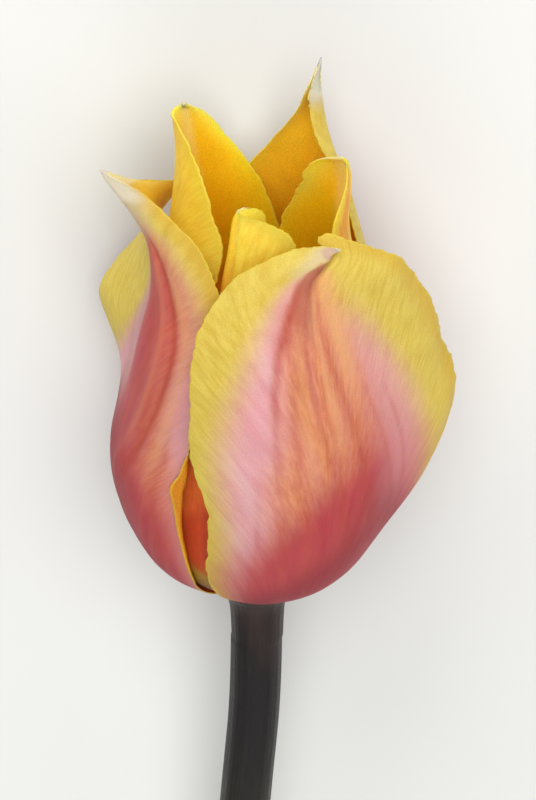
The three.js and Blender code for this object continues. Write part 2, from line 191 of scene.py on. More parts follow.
# Each tepal is a net of rows from its base to its tip. A row is
# [left edge, fullness, middle rib, fullness, right edge], with the edges and the rib as
# [azimuth in degrees, radius, height], and the fullness as how far the blade halfway between
# edge and rib stands out beyond the mean of the two.
#
# The rest is given by where it lies along the tepal (0 base, 1 tip) and across it (-1 left edge,
# 1 right edge). The spread is how fast the veins part per millimetre of height, on the left and the
# right. A wave is how far a margin waves out of the blade, as [along, lift]. A band of colour is
# [along, left, right]. A line has a strength, a width in millimetres and a course,
# [along, across]: streaks are dark red, gleams are pale orange, and folds are ridges of a height in
# millimetres instead of a strength. A left edge is [along, how far it stands out], and a roll is
# [along, width of the margin that is turned over, how far back it turns]. A cusp is how far the
# rib's end is drawn up.
OUTER_FRONT = {
    "spread": (0.05, 0.035),
    "left_edge": [[0, 0], [0.1, 0.6], [0.14, 0.8], [0.2, 0.8], [0.24, 0.75], [0.27, 0.2], [0.3, -0.55],
        [0.32, -0.8], [0.34, -0.4], [0.37, 0.05], [0.4, 0], [1, 0]],
    "tooth": TOOTH,
    "tip_ridge": TIP_RIDGE,
    "rows": [
        [[-20, 5.1, 0.9], 0, [27, 5.1, 0.8], 0, [74, 5.1, 0.9]],
        [[-21, 11.9, 3.9], 0.2, [27, 11.9, 3.7], 0.1, [75, 11.3, 3.8]],
        [[-24, 16.4, 9.5], 0.5, [27, 17.4, 8.4], 0.1, [77, 17.3, 9.6]],
        [[-19, 20.6, 20], 0.8, [27, 22, 19.5], -0.6, [81, 24.4, 20]],
        [[-25, 23, 33], 0.8, [25, 24.2, 33], -1.2, [82, 29.6, 33]],
        [[-24, 23.6, 44], 0.6, [21, 24, 44], -1.2, [79.5, 28.9, 43]],
        [[-21.3, 22.3, 54.2], 0.8, [18.4, 22.3, 54.2], -0.8, [75, 26.6, 51.6]],
        [[-12, 18.6, 60.8], 0.9, [20, 20.8, 60.6], 0.2, [65, 23.6, 60]],
        [[4, 18.2, 64], 0.5, [25.8, 19.8, 62.7], 0.6, [54, 20.3, 63.6]],
        [[20, 17.6, 65.4], 0.2, [30.6, 19.7, 63.8], 0.4, [38, 17.5, 66.2]],
        [[31, 18.9, 65.5], 0, [32.6, 20.1, 64.7], 0, [32, 16.6, 65.2]],
        [[35.9, 20.3, 65.1], 0, [36.1, 20.4, 65.1], 0, [36.3, 20.3, 65.1]],
    ],
    "waves": [
        [[0, 0], [0.3, 0.1], [0.4, -0.15], [0.5, 0.15], [0.6, -0.1], [0.7, 0.1], [1, 0]],
        [[0, 0], [0.28, 0.05], [0.36, -0.3], [0.42, 0.22], [0.48, -0.35], [0.54, 0.2], [0.6, -0.1],
            [0.68, 0.2], [0.75, -0.1], [0.85, 0.1], [1, 0]],
    ],
    "bands": {
        "blush": [[0, -1, 1.3], [0.1, -0.8, 1.3], [0.2, -0.82, 1.2], [0.3, -0.82, 0.8],
            [0.35, -0.77, 0.68], [0.4, -0.72, 0.6], [0.45, -0.65, 0.56], [0.5, -0.54, 0.48],
            [0.56, -0.42, 0.3], [0.62, -0.3, 0.06], [0.7, -0.14, 0], [0.76, -0.04, 0],
            [0.84, 0.1, -0.1], [1, 0.2, -0.2]],
        "glow": [[0, -0.5, 0.6], [0.2, -0.5, 0.4], [0.3, -0.46, 0.38], [0.35, -0.42, 0.4],
            [0.4, -0.3, 0.42], [0.45, -0.26, 0.4], [0.5, -0.24, 0.36], [0.56, -0.2, 0.28],
            [0.62, -0.12, 0.22], [0.7, -0.04, 0.12], [0.78, 0.2, -0.1], [1, 0.3, -0.3]],
        "rose": [[0, -1.3, 1.3], [0.1, -0.9, 1.2], [0.18, -0.84, 1.1], [0.24, -0.7, 1],
            [0.3, -0.3, 0.85], [0.36, 0.2, 0.62], [0.42, 0.38, 0.36], [0.5, 0.5, 0.1], [0.6, 0.6, -0.2],
            [1, 0.6, -0.3]],
        "cream": [[0, 0.5, -0.5], [0.6, 0.3, -0.3], [0.7, -0.3, -0.1], [0.8, -0.5, 0.02],
            [0.9, -0.9, 0.05], [1, -1.2, 0.1]],
        "mauve": [[0, 0.6, 0.2], [0.24, 0.44, 0.62], [0.32, 0.42, 0.66], [0.42, 0.38, 0.62],
            [0.5, 0.36, 0.52], [0.56, 0.36, 0.44], [0.62, 0.42, 0.3], [1, 0.6, 0]],
        "ridge": [[0, 0.3, -0.3], [0.5, 0.1, -0.1], [0.56, -0.02, 0.02], [0.62, -0.08, 0.04],
            [0.7, -0.05, 0.07], [0.75, 0, 0.06], [0.8, 0.08, 0], [0.86, 0.2, -0.1], [1, 0.3, -0.3]],
        # Deep red at the base, darkest low on the right: partly the tepal's own deep rose and partly
        # painted shade.
        "wine": [[0, -1.2, 1.3], [0.1, -0.9, 1.2], [0.16, -0.62, 1.15], [0.2, -0.3, 1.1],
            [0.25, 0.16, 1], [0.3, 0.36, 0.62], [0.36, 0.5, 0.2], [0.45, 0.6, 0], [1, 0.6, -0.3]],
        "lilac": [[0, 0.5, -0.5], [0.76, 0.4, -0.4], [0.84, -0.2, 0.1], [0.9, -0.8, 0.15],
            [0.96, -1.3, 0.2], [1, -1.4, 0.2]],
    },
    "streaks": [
        [0.3, 0.7, [[0.34, -0.36], [0.4, -0.34], [0.45, -0.32], [0.48, -0.3]]],
        [0.6, 0.9, [[0.45, -0.32], [0.5, -0.27], [0.56, -0.17], [0.62, -0.09], [0.68, -0.01],
            [0.74, 0.04], [0.79, 0.07]]],
        [0.5, 1.1, [[0.52, -0.17], [0.56, -0.1], [0.62, -0.03], [0.68, 0.03], [0.74, 0.06]]],
        [0.22, 0.9, [[0.18, 0.42], [0.24, 0.27], [0.3, 0.13], [0.36, 0.04], [0.43, 0], [0.5, -0.02],
            [0.56, -0.01], [0.62, 0.01], [0.68, 0.03]]],
        [0.15, 0.35, [[0.3, 0.13], [0.36, 0.04], [0.43, 0], [0.5, -0.02], [0.56, -0.01], [0.62, 0.01],
            [0.68, 0.03]]],
        [0.25, 1.1, [[0.2, 0.54], [0.24, 0.47], [0.29, 0.35], [0.35, 0.26], [0.42, 0.2], [0.5, 0.15],
            [0.56, 0.12]]],
        [0.2, 0.4, [[0.24, 0.47], [0.29, 0.35], [0.35, 0.26], [0.42, 0.2], [0.5, 0.15], [0.58, 0.12],
            [0.64, 0.1]]],
        [0.3, 0.7, [[0.16, -0.02], [0.22, -0.1], [0.28, -0.16], [0.36, -0.2], [0.44, -0.18],
            [0.52, -0.12]]],
        [0.25, 0.7, [[0.16, -0.3], [0.22, -0.34], [0.28, -0.36], [0.34, -0.36]]],
        [0.25, 0.6, [[0.16, -0.56], [0.22, -0.58], [0.28, -0.57], [0.34, -0.52]]],
        [0.25, 0.4, [[0.26, 0.22], [0.32, 0.12], [0.4, 0.07], [0.48, 0.05], [0.56, 0.05]]],
        [0.28, 0.5, [[0.22, 0.66], [0.28, 0.56], [0.36, 0.42], [0.44, 0.34], [0.5, 0.3]]],
        [0.3, 0.45, [[0.24, 0.72], [0.3, 0.62], [0.38, 0.52], [0.46, 0.45]]],
    ],
    "gleams": [
        [0.25, 1, [[0.36, -0.1], [0.42, -0.1], [0.5, -0.08], [0.56, -0.05]]],
        [0.35, 0.7, [[0.38, 0.11], [0.44, 0.1], [0.5, 0.08], [0.56, 0.07], [0.62, 0.07]]],
        [0.6, 1.5, [[0.46, 0.26], [0.52, 0.24], [0.58, 0.21], [0.64, 0.18], [0.7, 0.16]]],
    ],
    "folds": [
        [-1.6, 5, [[0.2, 1], [0.23, 1], [0.25, 1]]],
        [-0.4, 1.8, [[0.34, -0.27], [0.4, -0.31], [0.46, -0.33], [0.5, -0.28], [0.56, -0.2],
            [0.62, -0.12], [0.68, -0.07], [0.74, -0.07]]],
        [-0.25, 1.6, [[0.24, 0.27], [0.3, 0.13], [0.36, 0.04], [0.43, 0], [0.5, -0.02]]],
        [-0.25, 1.6, [[0.24, 0.47], [0.29, 0.35], [0.35, 0.26], [0.42, 0.2], [0.5, 0.16], [0.58, 0.12],
            [0.66, 0.05]]],
    ],
}

OUTER_LEFT = {
    "spread": (0.04, 0.045),
    "rows": [
        [[-146, 5.1, 0.9], 0, [-93, 5.1, 0.8], 0, [-40, 5.1, 0.9]],
        [[-150, 11.7, 3.3], 0.3, [-93, 12, 3.2], 0.3, [-41, 12.2, 4]],
        [[-152, 17.4, 9.3], 0.6, [-93, 17.8, 9.5], 0.6, [-37.5, 16.8, 10.5]],
        [[-152, 24.7, 21], 0, [-92, 21.9, 21.5], 0.6, [-38.5, 19.3, 22.5]],
        [[-139, 25.6, 29.5], -0.8, [-91, 20.9, 29.5], 0.6, [-33, 19.4, 30]],
        [[-125.5, 27.5, 37.8], -2.2, [-90, 18.9, 37], 0.5, [-27, 20.3, 38]],
        [[-121.5, 28, 44], -2.4, [-90, 16.6, 46], 0.6, [-20, 20.5, 47]],
        [[-131, 24.5, 50.8], -1.8, [-89, 15.3, 52], 0.6, [-16, 18.6, 53]],
        [[-138, 20.6, 57.5], -0.8, [-89, 15.6, 58.5], 0.6, [-19, 16.6, 59]],
        [[-141, 18.4, 61.5], 0, [-89.5, 17.4, 62.4], 0.3, [-33, 15.2, 63.8]],
        [[-126, 18.4, 63.4], 0, [-91, 20, 65.8], 0, [-57, 15.6, 66.8]],
        [[-108, 19.6, 65.8], 0, [-92, 21.4, 67.4], 0, [-76, 17.6, 68.7]],
        [[-94, 22.8, 69.4], 0, [-93, 23, 69.6], 0, [-92, 22.8, 69.7]],
    ],
    "waves": [
        [[0, 0], [0.3, 0.15], [0.42, -0.2], [0.55, 0.2], [0.7, -0.15], [0.85, 0.1], [1, 0]],
        [[0, 0], [0.4, 0], [0.5, 0.12], [0.6, -0.12], [0.7, 0.15], [0.8, -0.1], [1, 0]],
    ],
    "roll": [[0.1, 0, 0], [0.15, 0.2, 0], [0.2, 0.4, 0], [0.22, 0.6, 0], [0.24, 0.9, 0],
        [0.26, 1.5, 0.4], [0.28, 2, 1], [0.295, 1.9, 0.8], [0.31, 1.3, 0.3], [0.33, 0.8, 0.1],
        [0.345, 0.4, 0], [0.36, 0, 0]],
    "bands": {
        "blush": [[0, -1.3, 1.5], [0.3, -1.1, 1.5], [0.38, -0.8, 1.35], [0.44, -0.5, 1.2],
            [0.5, -0.28, 0.95], [0.56, -0.08, 0.82], [0.62, 0.08, 0.7], [0.7, 0.1, 0.52],
            [0.78, 0.05, 0.28], [0.86, 0.08, 0.12], [1, 0.1, 0]],
        "glow": [[0, 0.1, 0.9], [0.2, 0.35, 0.95], [0.3, 0.45, 0.9], [0.4, 0.45, 0.82],
            [0.5, 0.42, 0.84], [0.6, 0.35, 0.76], [0.7, 0.2, 0.6], [0.8, 0.05, 0.38], [0.9, 0.2, -0.1],
            [1, 0.3, -0.3]],
        "rose": [[0, -1.2, 1.3], [0.2, -1, 1.05], [0.3, -0.2, 0.7], [0.4, 0, 0.7], [0.5, 0.04, 0.76],
            [0.6, 0.08, 0.7], [0.68, 0.12, 0.5], [0.76, 0.08, 0.3], [0.85, 0.05, 0.16], [1, 0.3, -0.2]],
        "mauve": [[0, 1, 1.5], [0.2, 0.92, 1.5], [0.3, 0.9, 1.4], [0.4, 0.86, 1.15], [0.5, 0.88, 0.98],
            [0.6, 0.82, 0.88], [0.7, 0.66, 0.7], [0.78, 0.54, 0.52], [1, 0.5, -0.5]],
        "cream": [[0, 0.5, -0.5], [0.55, 0.3, -0.3], [0.7, 0.1, 0.1], [0.8, -0.1, 0.5],
            [0.9, -0.6, 0.9], [1, -1.2, 1.2]],
        "pale": [[0, 0.5, -0.5], [0.8, 0.3, -0.3], [0.87, -0.6, 0.6], [0.93, -1.3, 0.9],
            [1, -1.4, 1.2]],
        # Deep red at the base: partly the tepal's own deep rose and partly painted shade.
        "wine": [[0, -1.3, 1.2], [0.12, -1.2, 0.8], [0.2, -1.1, 0.55], [0.26, -0.9, 0.42],
            [0.32, -0.6, 0.3], [0.38, -0.3, 0.1], [0.46, 0.1, -0.2], [1, 0.3, -0.5]],
        "lilac": [[0, 0.5, -0.5], [0.3, 0.2, -0.2], [0.4, -0.3, 0.05], [0.5, -0.28, 0.12],
            [0.62, -0.1, 0.16], [0.7, 0.3, -0.2], [1, 0.5, -0.5]],
    },
    "streaks": [
        [0.85, 0.7, [[0.26, 0.44], [0.3, 0.52], [0.34, 0.58], [0.39, 0.66], [0.45, 0.72], [0.5, 0.74],
            [0.55, 0.69], [0.61, 0.6], [0.69, 0.46], [0.76, 0.3], [0.83, 0.2], [0.9, 0.1]]],
        [0.6, 0.8, [[0.32, 0.2], [0.38, 0.32], [0.44, 0.44], [0.5, 0.5], [0.56, 0.48], [0.62, 0.4],
            [0.68, 0.34], [0.76, 0.24]]],
        [0.5, 1.8, [[0.54, 0.36], [0.6, 0.36], [0.66, 0.3], [0.74, 0.22], [0.82, 0.14], [0.88, 0.1]]],
        [0.35, 0.8, [[0.16, 0.2], [0.24, 0.24], [0.3, 0.3], [0.36, 0.4]]],
        [0.3, 0.6, [[0.14, 0.7], [0.22, 0.74], [0.3, 0.78], [0.38, 0.84]]],
        [0.35, 0.5, [[0.22, 0.34], [0.28, 0.44], [0.34, 0.53], [0.4, 0.6], [0.46, 0.65]]],
        [0.3, 0.4, [[0.34, 0.3], [0.4, 0.4], [0.46, 0.5], [0.52, 0.55], [0.58, 0.52]]],
    ],
    "gleams": [
        [0.15, 0.6, [[0.3, 0.36], [0.36, 0.48], [0.42, 0.57], [0.48, 0.62], [0.54, 0.6], [0.62, 0.5],
            [0.7, 0.37]]],
        [0.3, 1.1, [[0.3, 0.7], [0.38, 0.79], [0.46, 0.83], [0.52, 0.82], [0.6, 0.71], [0.68, 0.56]]],
    ],
    "folds": [
        [0.8, 5, [[0.16, 0], [0.2, 0], [0.24, 0]]],
        [-0.3, 1.2, [[0.26, 0.44], [0.32, 0.55], [0.39, 0.66], [0.45, 0.72], [0.5, 0.74], [0.55, 0.69],
            [0.61, 0.6], [0.69, 0.46], [0.76, 0.3]]],
        [0.3, 1.3, [[0.24, 0.26], [0.3, 0.36], [0.36, 0.48], [0.42, 0.57], [0.48, 0.62], [0.54, 0.58],
            [0.62, 0.48], [0.7, 0.36]]],
    ],
}

OUTER_BACK = {
    "spread": (0.045, 0.045),
    "rows": [
        [[94, 5.1, 0.9], 0, [147, 5.1, 0.8], 0, [200, 5.1, 0.9]],
        [[91, 11.7, 3.3], 0.3, [147, 12.2, 3.1], 0.3, [203, 11.7, 3.3]],
        [[92, 17, 9.3], 0.6, [147, 18.2, 8.4], 0.6, [204, 17.2, 9.3]],
        [[94, 19.8, 22], 0.6, [151, 23.8, 20], -1.9, [203, 20.6, 22]],
        [[96, 19.9, 37], 0.6, [151, 23.6, 35], -1.3, [201, 20, 37]],
        [[97.5, 17.2, 50], 0.2, [149, 21.4, 50], 0.6, [197, 17.8, 50]],
        [[100, 14.6, 58.5], 0.3, [148, 19, 61.5], 0.8, [190, 16.4, 60.5]],
        [[131.5, 14.6, 66], 1, [148, 17.8, 70], 0.8, [174, 16, 67]],
        [[145, 14.2, 72.2], 1.2, [148, 17.8, 75], 0.9, [159, 16, 72.3]],
        [[149.5, 15, 76.2], 0.9, [148, 17.6, 78.5], 0.9, [152, 15.6, 76.4]],
        [[146.5, 17.3, 81.3], 0, [147, 17.6, 81.6], 0, [147.5, 17.3, 81.3]],
    ],
    "waves": [
        [[0, 0], [0.3, 0.1], [0.42, -0.2], [0.55, 0.15], [0.7, -0.05], [1, 0]],
        [[0, 0], [0.35, -0.1], [0.48, 0.15], [0.6, -0.15], [0.7, 0.05], [1, 0]],
    ],
    "bands": {
        **FLAME,
        "cream": [[0, 0.5, -0.5], [0.7, 0.3, -0.3], [0.78, -0.3, 0], [0.84, -0.8, 0.6], [0.9, -1.3, 1],
            [1, -1.4, 1.4]],
        "pale": [[0, 0.5, -0.5], [0.78, 0.3, -0.3], [0.85, -0.6, 0.4], [0.91, -1.1, 1], [1, -1.4, 1.4]],
    },
    "streaks": [
        [0.7, 1.1, [[0.12, -0.4], [0.3, -0.3], [0.5, -0.2], [0.7, -0.06]]],
        [0.8, 0.9, [[0.12, 0], [0.4, 0.02], [0.8, 0]]],
        [0.7, 1.1, [[0.12, 0.4], [0.3, 0.3], [0.5, 0.2], [0.7, 0.06]]],
    ],
    "gleams": [
        [0.6, 1.6, [[0.2, -0.16], [0.4, -0.12], [0.6, -0.06]]],
        [0.6, 1.6, [[0.2, 0.18], [0.4, 0.14], [0.6, 0.06]]],
    ],
    "folds": [
        [-0.3, 1.4, [[0.2, -0.36], [0.3, -0.3], [0.5, -0.2], [0.65, -0.08]]],
        [-0.3, 1.4, [[0.2, 0.36], [0.3, 0.3], [0.5, 0.2], [0.65, 0.08]]],
    ],
}

INNER_BACK = {
    "spread": (0.035, 0.035),
    "cusp": 0.55,
    "rows": [
        [[-186, 4.3, 1.9], 0, [-146, 4.3, 1.8], 0, [-106, 4.3, 1.9]],
        [[-190, 10.4, 4.8], 0.3, [-146, 10.6, 4.6], 0.3, [-101, 10.4, 4.8]],
        [[-192, 15, 11], 0.4, [-145, 15.6, 10], 0.4, [-97, 15, 11]],
        [[-194, 17.2, 24], 0.6, [-143, 19, 23], 0.6, [-90, 17.4, 24]],
        [[-196, 16.4, 38], 0.6, [-141, 18.6, 37], 0.2, [-78, 15.4, 38]],
        [[-196, 14.2, 50], 0.5, [-139, 16.6, 50], 0, [-45, 12.4, 50]],
        [[-188, 13.6, 59], 0.3, [-138, 15.2, 60], -0.5, [-31, 9.8, 59.5]],
        [[-176, 14, 64.6], 0.3, [-136, 14.8, 67], -0.4, [-51, 8.7, 66]],
        [[-162, 14.8, 69.4], 0.2, [-134, 14.4, 73], 0.3, [-74, 9, 72]],
        [[-150, 15.2, 73.6], 0, [-131, 14, 76.2], 0.4, [-95, 11.6, 77]],
        [[-140, 14.8, 74.9], 0, [-128.5, 13.9, 76.4], 0.2, [-110, 13.4, 76.8]],
    ],
    "waves": [
        [[0, 0], [0.4, 0], [0.55, 0.12], [0.7, -0.1], [0.85, 0.12], [1, 0]],
        [[0, 0], [0.5, 0], [0.6, 0.15], [0.68, -0.15], [0.76, 0.15], [0.85, -0.1], [1, 0]],
    ],
    "bands": {
        **SHORT_FLAME,
        "ridge": [[0, 0.3, -0.3], [0.4, 0.1, -0.1], [0.55, -0.1, 0.12], [0.75, -0.12, 0.16],
            [0.9, -0.14, 0.2], [1, -0.2, 0.3]],
    },
    "folds": [[0.3, 0.7, [[0.3, 0], [0.6, 0.02], [0.9, 0], [1, 0]]]],
}

INNER_RIGHT = {
    "spread": (0.035, 0.035),
    "rows": [
        [[54, 4.3, 1.9], 0, [94, 4.3, 1.8], 0, [134, 4.3, 1.9]],
        [[50, 10.4, 4.8], 0.3, [94, 10.6, 4.6], 0.3, [138, 10.4, 4.8]],
        [[48, 15, 11], 0.3, [94, 15.6, 10], 0.4, [141, 15, 11]],
        [[47, 17.8, 24], 0.6, [94, 18.4, 22], 0.6, [146, 17.5, 24]],
        [[48, 17.5, 38], 0.5, [94, 18.2, 37], 0.5, [152, 16.2, 38]],
        [[50, 15, 50], 0.4, [93, 15.3, 50], 0.3, [165, 13, 47]],
        [[53, 13.3, 60], 0.3, [92, 13.2, 60.5], 0.3, [163, 12.2, 56.2]],
        [[63, 13.5, 67], 0.1, [92, 13.4, 67], 0.3, [149, 11.8, 62.2]],
        [[82, 13.3, 70], 0, [93, 13.2, 70.5], 0.3, [139, 11.4, 66.6]],
        [[88, 13.2, 70.9], 0, [98, 12.7, 71.1], 0.1, [122, 11.5, 69.2]],
    ],
    "waves": [
        [[0, 0], [0.5, 0], [0.62, 0.12], [0.74, -0.12], [0.86, 0.1], [1, 0]],
        [[0, 0], [0.5, 0], [0.62, -0.12], [0.74, 0.12], [0.86, -0.08], [1, 0]],
    ],
    "bands": {
        **SHORT_FLAME,
        "ridge": [[0, 0.3, -0.3], [0.4, 0.1, -0.1], [0.55, -0.1, 0.18], [0.75, -0.14, 0.34],
            [0.9, -0.1, 0.42], [1, -0.3, 0.5]],
        # Orange band on the left, in the same tint as the painted fold shade of the front inner tepal.
        "mauve": [[0, 0.3, -0.3], [0.5, 0.1, -0.1], [0.6, -0.75, -0.2], [0.8, -0.75, -0.25],
            [0.92, -0.6, -0.3], [1, 0.1, -0.1]],
    },
    "folds": [[0.25, 0.8, [[0.3, 0], [0.6, 0], [0.9, 0], [1, 0]]]],
}

INNER_FRONT = {
    "spread": (0.035, 0.04),
    "rows": [
        [[-68, 4.3, 1.9], 0, [-28, 4.3, 1.8], 0, [12, 4.3, 1.9]],
        [[-72, 11, 4.5], 0.3, [-28, 11, 4.4], 0.3, [16, 10.6, 4.8]],
        [[-72, 15.6, 11], 0.3, [-27, 15.3, 10], 0.3, [20, 14.8, 11]],
        [[-70, 16.8, 24], 0.5, [-26, 17.4, 23], 0.5, [24, 17.6, 24]],
        [[-60, 13.5, 38], 0.6, [-25, 17, 37], 0.5, [27, 17, 38]],
        [[-42, 8.5, 48], 0.6, [-24, 14.6, 49], 0.5, [30, 15.2, 48]],
        [[-14, 5.2, 56], 0, [-22.5, 12.2, 57], 0.3, [31, 13.6, 56.5]],
        [[12, 4.8, 62.3], 0, [-20, 10.6, 62.4], 0.2, [29, 12.2, 63]],
        [[9, 5.2, 65.8], 0, [-20, 9.1, 65.6], 0, [11.5, 9.4, 65.7]],
        [[-14, 7.6, 67.6], 0, [-18.5, 8.5, 67.4], 0, [-17, 8.5, 66.4]],
    ],
    "waves": [
        [[0, 0], [0.5, 0], [0.65, 0.1], [0.8, -0.1], [1, 0]],
        [[0, 0], [0.5, 0], [0.62, 0.15], [0.74, -0.12], [0.86, 0.1], [1, 0]],
    ],
    "bands": {
        **SHORT_FLAME,
        "ridge": [[0, 0.3, -0.3], [0.6, 0.1, -0.1], [0.75, -0.05, 0.1], [0.9, -0.1, 0.14],
            [1, -0.2, 0.3]],
        # Orange band up the middle: painted shade in the fold, not the tepal's own colour.
        "mauve": [[0, 0.3, -0.3], [0.5, 0.2, -0.2], [0.58, -0.3, 0.16], [0.68, -0.3, 0.1],
            [0.8, -0.3, 0.06], [0.9, -0.3, 0.05], [1, 0.1, -0.1]],
    },
    "folds": [
        [0.2, 0.6, [[0.5, 0.04], [0.7, 0.06], [0.9, 0.08], [1, 0.1]]],
        [-0.2, 0.5, [[0.5, 0.12], [0.7, 0.14], [0.9, 0.2], [1, 0.2]]],
    ],
}

TEPALS = {
    "tepal_outer_front": OUTER_FRONT,
    "tepal_outer_left": OUTER_LEFT,
    "tepal_outer_back": OUTER_BACK,
    "tepal_inner_back": INNER_BACK,
    "tepal_inner_right": INNER_RIGHT,
    "tepal_inner_front": INNER_FRONT,
}

# Bands and how far their edges fade out on each side, as a share of half the tepal's width.
BAND_SOFTNESS = {
    "blush": 0.2,
    "glow": 0.16,
    "rose": 0.34,
    "cream": 0.3,
    "lilac": 0.16,
    "mauve": 0.16,
    "ridge": 0.12,
    "wine": 0.3,
    "pale": 0.3,
}

# Lines of colour, and between which places a line fades in beside its first point and fades out
# beside its last one.
LINE_KINDS = ["streaks", "gleams"]
LINE_START = (-0.05, 0.08)
LINE_END = (-0.05, 0.03)

# Tints as seen on a screen. A pair is mixed by the veins, and the list of five is the inner face at
# the five places along that follow.
OUTER_TINTS = {
    "yellow": [(203, 182, 84), (193, 166, 64)],
    "foot": (188, 152, 44),
    "margin": (188, 152, 44),
    "blush": [(210, 161, 162), (203, 140, 144)],
    "glow": [(205, 138, 90), (193, 112, 72)],
    "rose": [(174, 68, 68), (164, 54, 62)],
    # Mauve pink on the outer tepals.
    "mauve": (198, 138, 138),
    "gleams": (210, 162, 104),
    "streaks": (168, 68, 50),
    # Deep rose at the base: partly the tepal's own colour and partly painted shade.
    "wine": (132, 36, 44),
    "cream": (194, 176, 134),
    "pale": (210, 202, 178),
    "lilac": (176, 136, 132),
    "ridge": (166, 102, 80),
    "tip": (204, 196, 194),
    "rim": (202, 178, 52),
    "inside": [(160, 92, 2), (230, 138, 4), (246, 184, 22), (234, 190, 38), (232, 202, 94)],
}
INNER_TINTS = {
    "yellow": [(226, 196, 66), (219, 178, 46)],
    "foot": (98, 52, 2),
    "margin": (206, 166, 48),
    "blush": [(228, 138, 54), (222, 122, 46)],
    "glow": [(232, 116, 46), (224, 98, 38)],
    # Orange that stands for painted shade in the fold of the front inner tepal.
    "mauve": (206, 122, 22),
    # Deep red low on the blade: partly the tepal's own colour and partly painted shade.
    "wine": (172, 48, 20),
    "ridge": (226, 182, 40),
    "tip": (222, 200, 128),
    "rim": (236, 190, 56),
    "inside": [(160, 92, 2), (244, 136, 0), (255, 180, 4), (246, 184, 10), (240, 202, 62)],
}
INSIDE_PLACES = [0, 0.3, 0.55, 0.75, 0.95]

# Layers of an outer face from the lowest up, as [name, how far its edge runs out along the fine
# veins, how far along the broad ones, strength].
LAYERS = [
    ["blush", 0.16, 0.1, 1],
    ["glow", 0.3, 0.2, 1],
    ["rose", 0.18, 0.1, 1],
    # The mauve layer is mauve pink on the outer tepals, and painted fold shade on the front inner tepal.
    ["mauve", 0.3, 0.3, 0.7],
    ["gleams", 0.5, 0.4, 1],
    ["streaks", 0.6, 0.4, 1],
    # The deep red layer is partly the tepal's own colour and partly painted shade.
    ["wine", 0.12, 0.1, 0.8],
    ["cream", 0.3, 0.3, 1],
    ["pale", 0.2, 0.2, 1],
    ["lilac", 0.2, 0.2, 0.6],
    ["ridge", 0.3, 0.3, 1],
]

# Bands that show through on the inner face, as [name, strength, tint].
INSIDE_LAYERS = [
    ["ridge", 0.55, (230, 204, 124)],
    ["cream", 0.6, (230, 204, 120)],
    ["pale", 0.8, (232, 220, 180)],
]

# How far the veins have parted low on the blade, halfway up it and high on it.
VEIN_PARTINGS = [1.8, 4, 8.5]


# Curves and noise


def spline(points, positions):
    """Smooth curves through the points of the last axis but one, read at the positions, which count
    in steps from one point to the next."""
    before = 2 * points[..., :1, :] - points[..., 1:2, :]
    after = 2 * points[..., -1:, :] - points[..., -2:-1, :]
    padded = np.concatenate([before, points, after], axis=-2)
    start = np.clip(np.floor(positions), 0, points.shape[-2] - 2).astype(int)
    t = (positions - start)[..., None]
    a, b, c, d = (np.take_along_axis(padded, (start + k)[..., None], axis=-2) for k in range(4))
    bend = 2 * a - 5 * b + 4 * c - d
    twist = 3 * b - a - 3 * c + d
    return b + 0.5 * t * (c - a + t * (bend + t * twist))


def resampled(table, count):
    """The rows of a table as smooth curves, read at evenly spaced places."""
    rows = np.array(table, float)
    return spline(rows, np.linspace(0, len(rows) - 1, count))


def course(points, along):
    """Values of a given course, [along, value, ...], as smooth curves at the places along."""
    table = np.array(points, float)
    places = np.interp(along, table[:, 0], np.arange(len(table)))
    values = spline(table[:, 1:], np.ravel(places))
    return values.T.reshape(-1, *np.shape(along))


def random_curve(positions, seed):
    """Smooth random curve from about -1 to 1, with a new value at each whole position."""
    count = int(np.max(positions)) + 3
    values = np.random.default_rng(seed).uniform(-1, 1, (count, 1))
    return spline(values, np.ravel(positions))[:, 0].reshape(np.shape(positions))


def smooth_step(low, high, x):
    t = np.clip((x - low) / (high - low), 0, 1)
    return t * t * (3 - 2 * t)


def bell(x, width):
    return np.exp(-((x / width) ** 2))


def travelled(points):
    """Distance of each point from the first, along the line or lines of the first axis."""
    steps = np.linalg.norm(np.diff(points, axis=0), axis=-1)
    return np.concatenate([np.zeros_like(steps[:1]), np.cumsum(steps, axis=0)])


# Tepals


def five_points(row):
    left, full_left, rib, full_right, right = row
    left, rib, right = (np.array(point, float) for point in (left, rib, right))
    outwards = np.array([0, 1, 0])
    left_middle = (left + rib) / 2 + full_left * outwards
    right_middle = (right + rib) / 2 + full_right * outwards
    return [left, left_middle, rib, right_middle, right]


def from_cylinder(points):
    azimuth = np.radians(points[..., 0])
    radius = points[..., 1]
    return np.stack([radius * np.sin(azimuth), -radius * np.cos(azimuth), points[..., 2]], -1)


def grid_normals(points):
    upwards = np.gradient(points, axis=0)
    sideways = np.gradient(points, axis=1)
    normals = np.cross(sideways, upwards)
    return normals / (np.linalg.norm(normals, axis=-1, keepdims=True) + 1e-9)


def evened(lines):
    """The control curves with their steps in curvature smoothed out. Both ends stay."""
    lines = lines.copy()
    for _ in range(SMOOTHING_PASSES):
        lines[1:-1] = (lines[:-2] + 2 * lines[1:-1] + lines[2:]) / 4
    return lines


